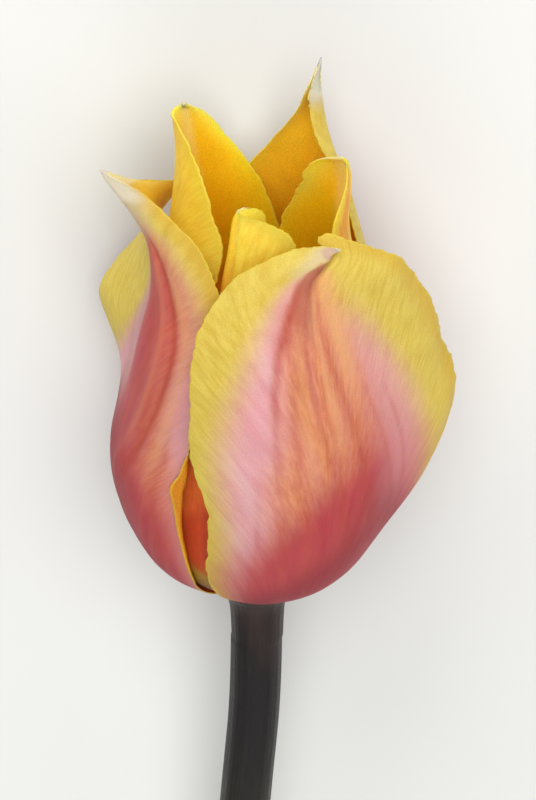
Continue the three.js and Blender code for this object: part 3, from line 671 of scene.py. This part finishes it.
class Grid:
    """Middle surface of a tepal: its points, and for each the place along and across it."""

    def __init__(self, spec, seed):
        net = np.array([five_points(row) for row in spec["rows"]], float)
        self.rows = np.linspace(0, 1, TEPAL_STEPS_ALONG + 1)
        columns = np.linspace(-1, 1, TEPAL_STEPS_ACROSS + 1)
        self.along, self.across = np.meshgrid(self.rows, columns, indexing="ij")
        places = np.broadcast_to(self.rows * (len(net) - 1), (5, len(self.rows)))
        self.lines = evened(spline(net.transpose(1, 0, 2), places).transpose(1, 0, 2))
        self.points = self.read(self.across)
        self.measure()
        stretched = 1 + self.scallops(spec, seed) * np.abs(self.across) ** 12
        self.points = self.read(self.across * stretched)
        self.normals = grid_normals(self.points)

    def read(self, across):
        return from_cylinder(spline(self.lines, 2 * (across + 1)))

    def measure(self):
        """Distances on the surface: from the rib, from the nearer margin and up from the base."""
        from_left = travelled(self.points.swapaxes(0, 1)).T
        self.from_rib = from_left - from_left[:, RIB_COLUMN : RIB_COLUMN + 1]
        self.width = from_left[:, -1:]
        self.from_margin = np.minimum(from_left, self.width - from_left)
        height = travelled(self.points[:, RIB_COLUMN])
        self.height = np.broadcast_to(height[:, None], self.along.shape)

    def scallops(self, spec, seed):
        """Share by which the margins stand out, for both sides."""
        shares = []
        for side, edge in enumerate([self.points[:, 0], self.points[:, -1]]):
            reached = travelled(edge)
            depth = np.zeros_like(reached)
            for number, (length, reach) in enumerate(SCALLOPS):
                wave = random_curve(reached / length, seed + side + 10 * number)
                depth += reach * (wave if number else 1 - 2 * np.abs(wave))
            depth *= smooth_step(*SMOOTH_FOOT, reached)
            if side == 0 and "left_edge" in spec:
                depth += course(spec["left_edge"], self.rows)[0]
            if side == 1 and "roll" in spec:
                depth *= 1 - smooth_step(0, 0.5, course(spec["roll"], self.rows)[0])
            if side == 1 and "tooth" in spec:
                place, height, fade = spec["tooth"]
                below = place * reached[-1] - reached
                depth += np.where(below > 0, height * np.exp(-below / fade), 0)
            shares.append(depth / np.maximum(self.width[:, 0] / 2, 2))
        left, right = shares
        return np.where(self.across < 0, left[:, None], right[:, None])

    def distance_from(self, across):
        """Signed distance of each point from a line that runs up the blade, given by its place
        across at each place along."""
        places = self.across[0]
        offsets = [np.interp(a, places, line) for a, line in zip(across, self.from_rib)]
        return self.from_rib - np.array(offsets)[:, None]

    def vein(self, spread):
        """Number that stays the same along a vein: the veins part from the rib as they rise."""
        rate = np.where(self.across < 0, *spread)
        return self.from_rib * np.exp(-rate * self.height)


def waves(grid, tables):
    """Lift of the blade's waves, which fade out from the margins inwards."""
    inwards = 1 - np.abs(grid.across)
    met = np.clip(grid.along + WAVE_SLANT * inwards, 0, 1)
    left, right = (course(table, met)[0] for table in tables)
    return np.where(grid.across < 0, left, right) * np.abs(grid.across) ** 4


def ribs(grid, spread, seed):
    """Lift of the low ribs that run along the veins."""
    vein = grid.vein(spread)
    curve = random_curve((vein - vein.min()) * RIBS_PER_MM, seed)
    rise = RIB_HEIGHT * curve * smooth_step(*RIBS_RISE, grid.height)
    return rise * smooth_step(0, RIBS_STRIP, grid.from_margin)


def tip_ridge(grid, table):
    """The points of the grid with the rib's end raised and hung over to the right."""
    height, overhang = course(table, grid.rows)
    x = grid.from_rib
    ridge = bell(x, np.where(x < 0, *RIDGE_FLANKS))
    lift = height[:, None] * (ridge - VALLEY_DEPTH * bell(x - VALLEY[0], VALLEY[1]))
    upwards = np.gradient(grid.points[:, RIB_COLUMN], axis=0)
    aside = np.cross(upwards, grid.normals[:, RIB_COLUMN])
    aside /= np.linalg.norm(aside, axis=-1, keepdims=True) + 1e-9
    shift = overhang[:, None] * bell(x - OVERHANG[0], OVERHANG[1])
    return grid.points + grid.normals * lift[..., None] - aside[:, None] * shift[..., None]


def rolled(points, table, along):
    """The points with the right margin turned over outwards."""
    points = points.copy()
    normals = grid_normals(points)
    first = int(TEPAL_STEPS_ACROSS * ROLLED_FROM)
    for row, (width, set_back) in enumerate(course(table, along).T):
        if width > 0.02:
            strip = points[row, first:]
            points[row, first:] = turned_over(strip, normals[row, -1], width, set_back)
    return points


def turned_over(strip, normal, width, set_back):
    """A strip of points with a flap of the given width, that turns over and lies back."""
    radius = min(ROLL_RADIUS, width / 2)
    reach = width - radius
    distances = travelled(strip)
    full = distances[-1] - set_back

    def on_strip(distance):
        return np.array([np.interp(distance, distances, strip[:, k]) for k in range(3)])

    end = on_strip(full)
    forwards = strip[-1] - strip[-3]
    forwards /= np.linalg.norm(forwards)
    turn = math.pi * radius
    placed = []
    for position in distances / distances[-1] * (full + 2 * reach + turn):
        beyond = position - full
        if beyond <= 0:
            point = on_strip(position)
        elif beyond <= reach:
            point = end + forwards * beyond
        elif beyond <= reach + turn:
            angle = (beyond - reach) / radius
            ahead = reach + radius * math.sin(angle)
            point = end + forwards * ahead + normal * radius * (1 - math.cos(angle))
        else:
            point = end + forwards * (2 * reach + turn - beyond) + normal * 2 * radius
        placed.append(point)
    return np.array(placed)


def band(grid, table, softness):
    """1 inside the band and 0 outside it, with soft edges."""
    left, right = course(table, grid.rows)[..., None]
    rise = smooth_step(-softness, softness, grid.across - left)
    fall = smooth_step(-softness, softness, right - grid.across)
    return rise * fall


def soft_lines(grid, table):
    """Sum of soft lines that run up the blade."""
    total = np.zeros_like(grid.along)
    for strength, width, line in table:
        (across,) = course(line, grid.rows)
        first, last = line[0][0], line[-1][0]
        rise = smooth_step(first + LINE_START[0], first + LINE_START[1], grid.along)
        fall = smooth_step(last + LINE_END[0], last + LINE_END[1], grid.along)
        total += strength * (rise * (1 - fall)) * bell(grid.distance_from(across), width)
    return total


def blade_attributes(grid, spec):
    """What the material reads at each point of the blade."""
    found = {
        "along": grid.along,
        "across": grid.across,
        "from_rib": grid.from_rib,
        "height": grid.height,
        "margin": grid.from_margin,
        "vein": grid.vein(spec["spread"]),
    }
    for name, softness in BAND_SOFTNESS.items():
        table = spec["bands"].get(name)
        found[name] = band(grid, table, softness) if table else np.zeros_like(grid.along)
    for name in LINE_KINDS:
        found[name] = np.clip(soft_lines(grid, spec.get(name, [])), 0, 1)
    return found


def grid_quads(rows, columns):
    first = (np.arange(rows - 1)[:, None] * columns + np.arange(columns - 1)).ravel()
    return np.stack([first, first + 1, first + columns + 1, first + columns], 1)


def rim_indices(rows, columns):
    """Edge of a grid in order: along the base, up the right side, over the tip, down the left."""
    base = np.arange(columns - 1)
    right = np.arange(rows - 1) * columns + columns - 1
    top = (rows - 1) * columns + np.arange(columns - 1, 0, -1)
    left = np.arange(rows - 1, 0, -1) * columns
    return np.concatenate([base, right, top, left])


def blade_faces(rows, columns):
    outer = grid_quads(rows, columns)
    inner = outer[:, ::-1] + rows * columns
    rim = rim_indices(rows, columns)
    following = np.roll(rim, -1)
    sides = np.stack([rim, rim + rows * columns, following + rows * columns, following], 1)
    return np.concatenate([outer, inner, sides]).tolist()


def make_tepal(name, spec, seed):
    grid = Grid(spec, seed)
    points = tip_ridge(grid, spec["tip_ridge"]) if "tip_ridge" in spec else grid.points
    lift = waves(grid, spec["waves"]) + soft_lines(grid, spec["folds"])
    lift += ribs(grid, spec["spread"], seed + RIBS_SEED)
    points = points + grid.normals * lift[..., None]
    if "cusp" in spec:
        cusp = spec["cusp"] * bell(grid.from_rib, CUSP_WIDTH)
        points[..., 2] += cusp * smooth_step(CUSP_START, 1, grid.along)
    if "roll" in spec:
        points = rolled(points, spec["roll"], grid.rows)
    thicker = (BLADE_THICKNESS - MARGIN_THICKNESS) * smooth_step(0, MARGIN_STRIP, grid.from_margin)
    half = grid_normals(points) * (MARGIN_THICKNESS + thicker)[..., None] / 2
    rows, columns = grid.along.shape
    vertices = np.concatenate([(points + half).reshape(-1, 3), (points - half).reshape(-1, 3)])
    found = blade_attributes(grid, spec)
    attributes = {key: np.tile(values.ravel(), 2) for key, values in found.items()}
    attributes["inside"] = np.repeat([0.0, 1.0], rows * columns)
    return make_piece(f"{name}_blade", vertices, blade_faces(rows, columns), attributes)


# Meshes


def make_piece(name, vertices, faces, attributes):
    """Smooth mesh of a piece, from millimetres in the flower's frame."""
    matrix = np.array(LYING)
    placed = vertices @ matrix[:3, :3].T + matrix[:3, 3]
    placed[:, 2] = np.maximum(placed[:, 2], 0)
    mesh = bpy.data.meshes.new(name)
    mesh.from_pydata(placed.tolist(), [], faces)
    for key, values in attributes.items():
        layer = mesh.attributes.new(key, "FLOAT", "POINT")
        layer.data.foreach_set("value", np.asarray(values, np.float32))
    mesh.shade_smooth()
    piece = bpy.data.objects.new(name, mesh)
    bpy.context.scene.collection.objects.link(piece)
    return piece


def stack(sections):
    """Vertices and faces of a closed body through rings of points from the bottom up."""
    rings, sides = sections.shape[:2]
    faces = []
    for i in range(rings - 1):
        for j in range(sides):
            after = (j + 1) % sides
            faces.append([i * sides + j, i * sides + after, (i + 1) * sides + after, (i + 1) * sides + j])
    faces.append(list(range(sides - 1, -1, -1)))
    faces.append(list(range((rings - 1) * sides, rings * sides)))
    return sections.reshape(-1, 3), faces


def rings_of(radii, shifts, heights, turns):
    """Rings of points around a line, from radii given for each ring and each side."""
    x = shifts[:, :1] + radii * np.cos(turns)
    y = shifts[:, 1:] + radii * np.sin(turns)
    return np.stack([x, y, np.broadcast_to(heights[:, None], radii.shape)], -1)


def turns_of(sides):
    return np.linspace(0, 2 * np.pi, sides, endpoint=False)


def make_stem():
    middle = resampled(STEM_LINE[::-1], STEM_STEPS)
    middle = middle[middle[:, 0] < RECEPTACLE[0][0]]
    collar = resampled(RECEPTACLE, COLLAR_STEPS)
    face = np.array(CUT_FACE)[::-1]
    count = len(face)

    heights = np.concatenate([middle[0, 0] + face[:, 1], middle[:, 0], collar[:, 0]])
    straight = np.zeros((COLLAR_STEPS, 2))
    shifts = np.concatenate([np.repeat(middle[:1, 1:], count, 0), middle[:, 1:], straight])
    turns = turns_of(STEM_SIDES)
    swell = STEM_SWELL * random_curve((heights + STEM_LENGTH + 1) / SWELL_LENGTH, STEM_SEED)
    flutes = sum(depth * np.cos(number * turns + number) for number, depth in STEM_FLUTES)
    side_radii = np.concatenate([np.full(len(middle), float(STEM_RADIUS)), collar[:, 1]])
    radii = np.concatenate([face[:, 0] * STEM_RADIUS, side_radii])[:, None] * (1 + flutes)
    below_collar = smooth_step(RECEPTACLE[1][0], RECEPTACLE[0][0], heights)
    radii = radii * (1 + below_collar * swell)[:, None]

    vertices, faces = stack(rings_of(radii, shifts, heights, turns))
    side_count = len(heights) - count
    cut = np.repeat([1, 0], [count, side_count])
    share = np.concatenate([face[:, 0], np.ones(side_count)])
    attributes = {
        "height": np.repeat(heights, STEM_SIDES),
        "cut": np.repeat(cut, STEM_SIDES),
        "share": np.repeat(share, STEM_SIDES),
        "round": np.tile(turns, len(heights)),
    }
    return make_piece("stem_fine", vertices, faces, attributes)


def make_pistil():
    height, radius, lobes = resampled(PISTIL_PROFILE, PISTIL_STEPS).T
    turns = turns_of(PISTIL_SIDES)
    groove = np.abs(np.cos(1.5 * turns)) ** 0.6
    shape = (PISTIL_STEPS, PISTIL_SIDES)
    crumbs = np.random.default_rng(PISTIL_SEED).uniform(-STIGMA_ROUGHNESS, STIGMA_ROUGHNESS, shape)
    stigma = smooth_step(*STIGMA_RISE, height)[:, None]
    reach = radius[:, None] * (1 - lobes[:, None] + 2 * lobes[:, None] * groove) + stigma * crumbs
    upright = np.zeros((PISTIL_STEPS, 2))
    vertices, faces = stack(rings_of(reach, upright, PISTIL_BASE + height, turns))
    attributes = {
        "height": np.repeat(height, PISTIL_SIDES),
        "groove": np.tile(groove, PISTIL_STEPS),
    }
    return make_piece("pistil_fine", vertices, faces, attributes)


def make_stamen(index):
    height, distance, half_width, half_depth = resampled(STAMEN_PROFILE, STAMEN_STEPS).T
    turns = turns_of(STAMEN_SIDES)
    turn = np.array(Matrix.Rotation(2 * np.pi * index / STAMEN_COUNT, 3, "Z"))
    anther = smooth_step(*ANTHER_RISE, height)[:, None]
    lobes = 1 + ANTHER_LOBES * anther * (np.abs(np.sin(2 * turns)) - 0.6)
    draws = np.random.default_rng(STAMEN_SEED + index)
    grains = draws.uniform(-ANTHER_ROUGHNESS, ANTHER_ROUGHNESS, (STAMEN_STEPS, STAMEN_SIDES))
    x = half_width[:, None] * np.cos(turns) * lobes + anther * grains
    y = half_depth[:, None] * np.sin(turns) * lobes - distance[:, None]
    level = np.broadcast_to(STAMEN_BASE + height[:, None], x.shape)
    vertices, faces = stack(np.stack([x, y, level], -1))
    attributes = {"height": np.repeat(height, STAMEN_SIDES)}
    return make_piece(f"stamen_{index + 1}_fine", vertices @ turn.T, faces, attributes)


# Materials


def linear(tint):
    """Linear colour from the values seen on a screen."""
    values = [((c / 255 + 0.055) / 1.055) ** 2.4 if c > 10 else c / 255 / 12.92 for c in tint]
    return (*values, 1)


class Shader:
    """Short calls for the nodes of one material. Colours are given as seen on a screen."""

    def __init__(self, name):
        self.material = bpy.data.materials.new(name)
        self.material.use_nodes = True
        self.tree = self.material.node_tree
        self.principled = self.tree.nodes["Principled BSDF"]

    def put(self, socket, value):
        if isinstance(value, bpy.types.NodeSocket):
            self.tree.links.new(value, socket)
        else:
            socket.default_value = linear(value) if socket.type == "RGBA" else value

    def node(self, kind, *values, **settings):
        """New node with its settings, and with values or links for its first inputs."""
        node = self.tree.nodes.new(f"ShaderNode{kind}")
        for key, value in settings.items():
            setattr(node, key, value)
        for socket, value in zip(node.inputs, values):
            self.put(socket, value)
        return node

    def read(self, name):
        return self.node("Attribute", attribute_name=name).outputs["Fac"]

    def math(self, operation, *values, clamp=False):
        return self.node("Math", *values, operation=operation, use_clamp=clamp).outputs[0]

    def times(self, a, b):
        return self.math("MULTIPLY", a, b)

    def scaled(self, value, factor, offset, clamp=False):
        return self.math("MULTIPLY_ADD", value, factor, offset, clamp=clamp)

    def varied(self, value, noise, reach):
        """The value raised and lowered by noise, which runs from 0 to 1."""
        return self.scaled(self.math("SUBTRACT", noise, 0.5), reach, value)

    def step(self, value, low, high):
        """0 at low and 1 at high, with a smooth change between."""
        node = self.node("MapRange", value, low, high, interpolation_type="SMOOTHSTEP")
        return node.outputs["Result"]

    def blend(self, factor, a, b):
        """Number between a and b."""
        node = self.node("Mix", factor)
        self.put(node.inputs[2], a)
        self.put(node.inputs[3], b)
        return node.outputs[0]

    def mix(self, factor, a, b, blend="MIX"):
        """Colour between a and b."""
        node = self.node("Mix", factor, data_type="RGBA", blend_type=blend)
        self.put(node.inputs[6], a)
        self.put(node.inputs[7], b)
        return node.outputs[2]

    def shaded(self, colour, shade):
        return self.mix(1.0, colour, shade, "MULTIPLY")

    def vector(self, x, y, z=0.0):
        return self.node("CombineXYZ", x, y, z).outputs[0]

    def noise(self, vector, scale, detail, roughness=0.5):
        node = self.node("TexNoise", vector)
        node.inputs["Scale"].default_value = scale
        node.inputs["Detail"].default_value = detail
        node.inputs["Roughness"].default_value = roughness
        return node.outputs["Fac"]

    def ramp(self, value, places, tints):
        node = self.node("ValToRGB", value)
        node.color_ramp.interpolation = "EASE"
        elements = node.color_ramp.elements
        while len(elements) < len(places):
            elements.new(0.5)
        for element, place, tint in zip(elements, places, tints):
            element.position = place
            element.color = linear(tint)
        return node.outputs["Color"]

    def bump(self, height, distance, strength, *normal):
        node = self.node("Bump", strength, distance)
        self.put(node.inputs["Height"], height)
        for earlier in normal:
            self.put(node.inputs["Normal"], earlier)
        return node.outputs["Normal"]

    def set(self, **values):
        for key, value in values.items():
            self.put(self.principled.inputs[key.replace("_", " ")], value)


def striped(shader, spacing, stretch, detail):
    """Noise drawn out along the veins, with as many veins to the millimetre low on the blade, where
    they lie close, as high on it, where they have parted."""
    height = shader.read("height")
    vein = shader.read("vein")
    drawn_out = shader.times(height, 1 / stretch)
    levels = []
    for number, parting in enumerate(VEIN_PARTINGS):
        place = shader.vector(shader.times(vein, parting), drawn_out, float(number))
        levels.append(shader.noise(place, 1 / spacing, detail, 0.6))
    lower = shader.blend(shader.step(height, 18, 34), levels[0], levels[1])
    return shader.blend(shader.step(height, 38, 56), lower, levels[2])


def outer_face(shader, tints, veins, wisps):
    """Colour of a tepal's outer face: yellow, and over it the layers that its tints name, whose soft
    edges run out along the veins."""
    fine = shader.step(veins, 0.3, 0.7)
    broad = shader.step(wisps, 0.3, 0.7)
    base = shader.mix(fine, *tints["yellow"])
    beside_margin = shader.step(shader.read("margin"), 5.0, 1.0)
    on_the_right = shader.step(shader.read("across"), 0.0, 0.6)
    strip = shader.times(beside_margin, on_the_right)
    base = shader.mix(shader.times(strip, 0.6), base, tints["margin"])
    base = shader.mix(shader.step(shader.read("along"), 0.36, 0.12), base, tints["foot"])
    vein_offset = shader.math("SUBTRACT", veins, 0.5)
    wisp_offset = shader.math("SUBTRACT", wisps, 0.5)
    for name, by_veins, by_wisps, strength in LAYERS:
        if name not in tints:
            continue
        tint = tints[name]
        if isinstance(tint, list):
            tint = shader.mix(fine if name == "glow" else broad, *tint)
        if name == "glow":
            strength = shader.scaled(broad, -0.3, 1.0)
        mask = shader.read(name)
        edge = shader.times(shader.times(mask, 4.0), shader.math("SUBTRACT", 1.0, mask))
        offset = shader.scaled(vein_offset, by_veins, shader.times(wisp_offset, by_wisps))
        feathered = shader.scaled(edge, offset, mask, clamp=True)
        base = shader.mix(shader.times(feathered, strength), base, tint)
    return shader.mix(shader.step(shader.read("along"), 0.97, 1.0), base, tints["tip"])


def inner_face(shader, tints, veins):
    """Colour of a tepal's inner face: golden above and at the margins, and orange in the depth."""
    side = shader.math("POWER", shader.math("ABSOLUTE", shader.read("across")), 3.0)
    depth = shader.varied(shader.scaled(side, 0.14, shader.read("along")), veins, 0.14)
    base = shader.ramp(depth, INSIDE_PLACES, tints["inside"])
    for name, strength, tint in INSIDE_LAYERS:
        base = shader.mix(shader.times(shader.read(name), strength), base, tint)
    beside_margin = shader.step(shader.read("margin"), 4.0, 1.0)
    low = shader.step(shader.read("along"), 0.44, 0.34)
    base = shader.mix(shader.times(beside_margin, low), base, (200, 122, 12))
    return shader.mix(shader.step(shader.read("along"), 0.97, 1.0), base, tints["tip"])


def tepal_material(name, tints, translucency, reach):
    shader = Shader(name)
    veins = striped(shader, 0.5, 6.5, 3.0)
    wisps = striped(shader, 1.5, 11.0, 2.0)
    inside = shader.read("inside")
    surface = shader.vector(shader.read("from_rib"), shader.read("height"), inside)
    grain = shader.noise(surface, 5.2, 3.0, 0.7)
    patches = shader.noise(surface, 0.16, 2.0)

    outer = outer_face(shader, tints, veins, wisps)
    base = shader.mix(inside, outer, inner_face(shader, tints, veins))
    rim = shader.step(shader.read("margin"), 0.4, 0.08)
    below_tip = shader.step(shader.read("along"), 0.97, 0.88)
    base = shader.mix(shader.times(shader.times(rim, below_tip), 0.55), base, tints["rim"])
    shade = shader.varied(1.0, grain, shader.scaled(inside, 0.5, 0.6))
    shade = shader.varied(shade, patches, 0.16)
    shade = shader.varied(shade, veins, -0.12)
    normal = shader.bump(veins, 0.00012, 1.0)
    normal = shader.bump(grain, 0.00008, 1.0, normal)
    shader.set(Base_Color=shader.shaded(base, shade), Normal=normal, Specular_IOR_Level=0.2)
    shader.set(Roughness=shader.scaled(grain, 0.16, 0.45))
    shader.set(Subsurface_Weight=translucency, Subsurface_Radius=(1.0, 0.6, 0.12), Subsurface_Scale=reach)
    return shader.material


def stem_material():
    """Bloomed skin that turns from purple brown under the flower to olive green lower down, drawn much
    darker than the stem's own colour as painted shade, darkest under the flower; and a pale cut face with
    its ring of bundles."""
    shader = Shader("stem")
    height = shader.read("height")
    around = shader.times(shader.read("round"), 6.0)
    fibres = shader.noise(shader.vector(around, shader.times(height, 0.12)), 2.2, 4.0, 0.6)
    patches = shader.noise(shader.vector(shader.times(around, 0.2), shader.times(height, 0.06)), 1.0, 3.0)
    cells = shader.noise(shader.vector(around, height), 6.0, 3.0, 0.7)

    # Painted shade: the skin's tints are much darker than the stem's own purple brown and olive green,
    # and darkest under the flower.
    upper = shader.mix(fibres, (15, 11, 12), (27, 22, 22))
    lower = shader.mix(fibres, (44, 48, 28), (74, 82, 48))
    depth = shader.varied(height, patches, 30.0)
    skin = shader.mix(shader.step(depth, -110, -20), lower, upper)
    skin = shader.mix(shader.step(depth, -14, 2), skin, (50, 34, 28))

    share = shader.read("share")
    place = shader.vector(shader.times(share, 4.0), shader.times(around, 0.66))
    flesh = shader.mix(shader.noise(place, 3.0, 4.0), (176, 190, 126), (206, 214, 164))
    bundle = shader.step(shader.noise(place, 1.6, 1.0), 0.52, 0.6)
    in_ring = shader.times(shader.step(share, 0.55, 0.68), shader.step(share, 0.92, 0.84))
    flesh = shader.mix(shader.times(bundle, in_ring), flesh, (128, 146, 84))
    flesh = shader.mix(shader.step(share, 0.9, 0.98), flesh, (120, 132, 74))
    flesh = shader.mix(shader.step(share, 0.25, 0.0), flesh, (216, 220, 182))
    base = shader.mix(shader.read("cut"), skin, flesh)

    normal = shader.bump(fibres, 0.00012, 0.8)
    normal = shader.bump(cells, 0.00006, 0.8, normal)
    shader.set(Base_Color=shader.shaded(base, shader.scaled(cells, 0.3, 0.85)), Normal=normal)
    shader.set(Roughness=shader.scaled(patches, 0.2, 0.4), Specular_IOR_Level=0.22)
    shader.set(Sheen_Weight=0.06, Sheen_Roughness=0.4)
    return shader.material


def pistil_material():
    """Pale green ovary with darker grooves, and a cream stigma."""
    shader = Shader("pistil")
    place = shader.node("TexCoord").outputs["Object"]
    cells = shader.noise(place, 2600.0, 3.0, 0.7)
    drifts = shader.noise(place, 420.0, 2.0)
    body = shader.mix(drifts, (150, 166, 84), (186, 196, 116))
    body = shader.mix(shader.step(shader.read("groove"), 0.45, 0.1), body, (112, 130, 62))
    stigma = shader.mix(cells, (224, 206, 130), (244, 234, 184))
    base = shader.mix(shader.step(shader.read("height"), 27.4, 28.8), body, stigma)
    shader.set(Base_Color=shader.shaded(base, shader.scaled(cells, 0.24, 0.88)))
    shader.set(Roughness=shader.scaled(cells, 0.25, 0.4), Specular_IOR_Level=0.3)
    shader.set(Normal=shader.bump(cells, 0.0001, 0.8))
    shader.set(Subsurface_Weight=0.3, Subsurface_Radius=(0.9, 1.0, 0.3), Subsurface_Scale=0.001)
    return shader.material


def stamen_material():
    """Yellow filament, dark at its foot, and a dark anther dusted with pollen."""
    shader = Shader("stamen")
    height = shader.read("height")
    place = shader.node("TexCoord").outputs["Object"]
    grains = shader.noise(place, 3200.0, 3.0, 0.8)
    drifts = shader.noise(place, 500.0, 2.0)
    filament = shader.mix(drifts, (196, 172, 66), (216, 196, 96))
    filament = shader.mix(shader.step(height, 5.0, 0.5), filament, (72, 62, 50))
    anther = shader.mix(grains, (36, 24, 38), (84, 60, 66))
    pollen = shader.step(shader.scaled(drifts, 0.6, grains), 0.86, 0.96)
    anther = shader.mix(shader.times(pollen, 0.7), anther, (150, 122, 84))
    shader.set(Base_Color=shader.mix(shader.step(height, 13.2, 14.0), filament, anther))
    shader.set(Roughness=shader.scaled(grains, 0.3, 0.5), Specular_IOR_Level=0.25)
    shader.set(Normal=shader.bump(grains, 0.0002, 1.0))
    return shader.material


# Scene


def dress(piece, node, material):
    piece.data.materials.append(material)
    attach(piece, "root")
    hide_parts(node)


def add_floor():
    reach = FLOOR_SIZE / 2
    corners = [(-reach, -reach, 0), (reach, -reach, 0), (reach, reach, 0), (-reach, reach, 0)]
    mesh = bpy.data.meshes.new("floor")
    mesh.from_pydata(corners, [], [(0, 1, 2, 3)])
    floor = bpy.data.objects.new("floor", mesh)
    bpy.context.scene.collection.objects.link(floor)
    shader = Shader("pale_floor")
    shader.set(Base_Color=(214, 214, 210), Roughness=0.8)
    mesh.materials.append(shader.material)


def add_lights():
    for name, place, size, power in LIGHTS:
        lamp = bpy.data.lights.new(name, "AREA")
        lamp.shape = "DISK"
        lamp.size = size
        lamp.energy = power
        light = bpy.data.objects.new(name, lamp)
        light.location = place
        direction = Vector(LIT_PLACE) - Vector(place)
        light.rotation_euler = direction.to_track_quat("-Z", "Y").to_euler()
        bpy.context.scene.collection.objects.link(light)
    world = bpy.data.worlds.new("soft_studio")
    world.use_nodes = True
    background = world.node_tree.nodes["Background"]
    background.inputs["Color"].default_value = (0.95, 0.97, 1.0, 1)
    background.inputs["Strength"].default_value = WORLD_STRENGTH
    bpy.context.scene.world = world


def add_camera():
    elevation = math.radians(CAMERA_ELEVATION)
    back = Vector((0, -math.cos(elevation), math.sin(elevation)))
    up = Vector((0, math.sin(elevation), math.cos(elevation)))
    right = Vector((1, 0, 0))
    target = right * CAMERA_TARGET_RIGHT + up * CAMERA_TARGET_UP
    axes = Matrix((right, up, back)).transposed().to_4x4()
    placed = LYING @ (Matrix.Translation(target + back * CAMERA_DISTANCE) @ axes)
    lens = bpy.data.cameras.new("camera")
    lens.sensor_width = SENSOR_SIZE
    lens.lens = SENSOR_SIZE * CAMERA_DISTANCE / PICTURE_HEIGHT
    lens.clip_start = 0.01
    camera = bpy.data.objects.new("camera", lens)
    location, rotation, _ = placed.decompose()
    camera.location = location
    camera.rotation_euler = rotation.to_euler()
    bpy.context.scene.collection.objects.link(camera)
    bpy.context.scene.camera = camera


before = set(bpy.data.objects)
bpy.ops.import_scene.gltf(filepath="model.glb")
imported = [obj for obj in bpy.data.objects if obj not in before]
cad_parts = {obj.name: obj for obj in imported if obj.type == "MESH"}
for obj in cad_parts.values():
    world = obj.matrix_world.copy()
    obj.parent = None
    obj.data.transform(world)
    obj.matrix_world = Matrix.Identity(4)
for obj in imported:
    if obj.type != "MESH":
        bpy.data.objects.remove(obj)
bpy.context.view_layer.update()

tepal_materials = {
    "outer_tepal": tepal_material("outer_tepal", OUTER_TINTS, 0.5, 0.0012),
    "inner_tepal": tepal_material("inner_tepal", INNER_TINTS, 0.8, 0.0025),
}
for number, (node, spec) in enumerate(TEPALS.items()):
    slot = "outer_tepal" if "outer" in node else "inner_tepal"
    dress(make_tepal(node, spec, TEPAL_SEED * number), node, tepal_materials[slot])
dress(make_stem(), "stem", stem_material())
dress(make_pistil(), "pistil", pistil_material())
stamens_material = stamen_material()
for index in range(STAMEN_COUNT):
    dress(make_stamen(index), f"stamen_{index + 1}", stamens_material)

add_floor()
add_lights()
add_camera()
bpy.context.scene.view_settings.view_transform = "Standard"

bpy.context.view_layer.update()
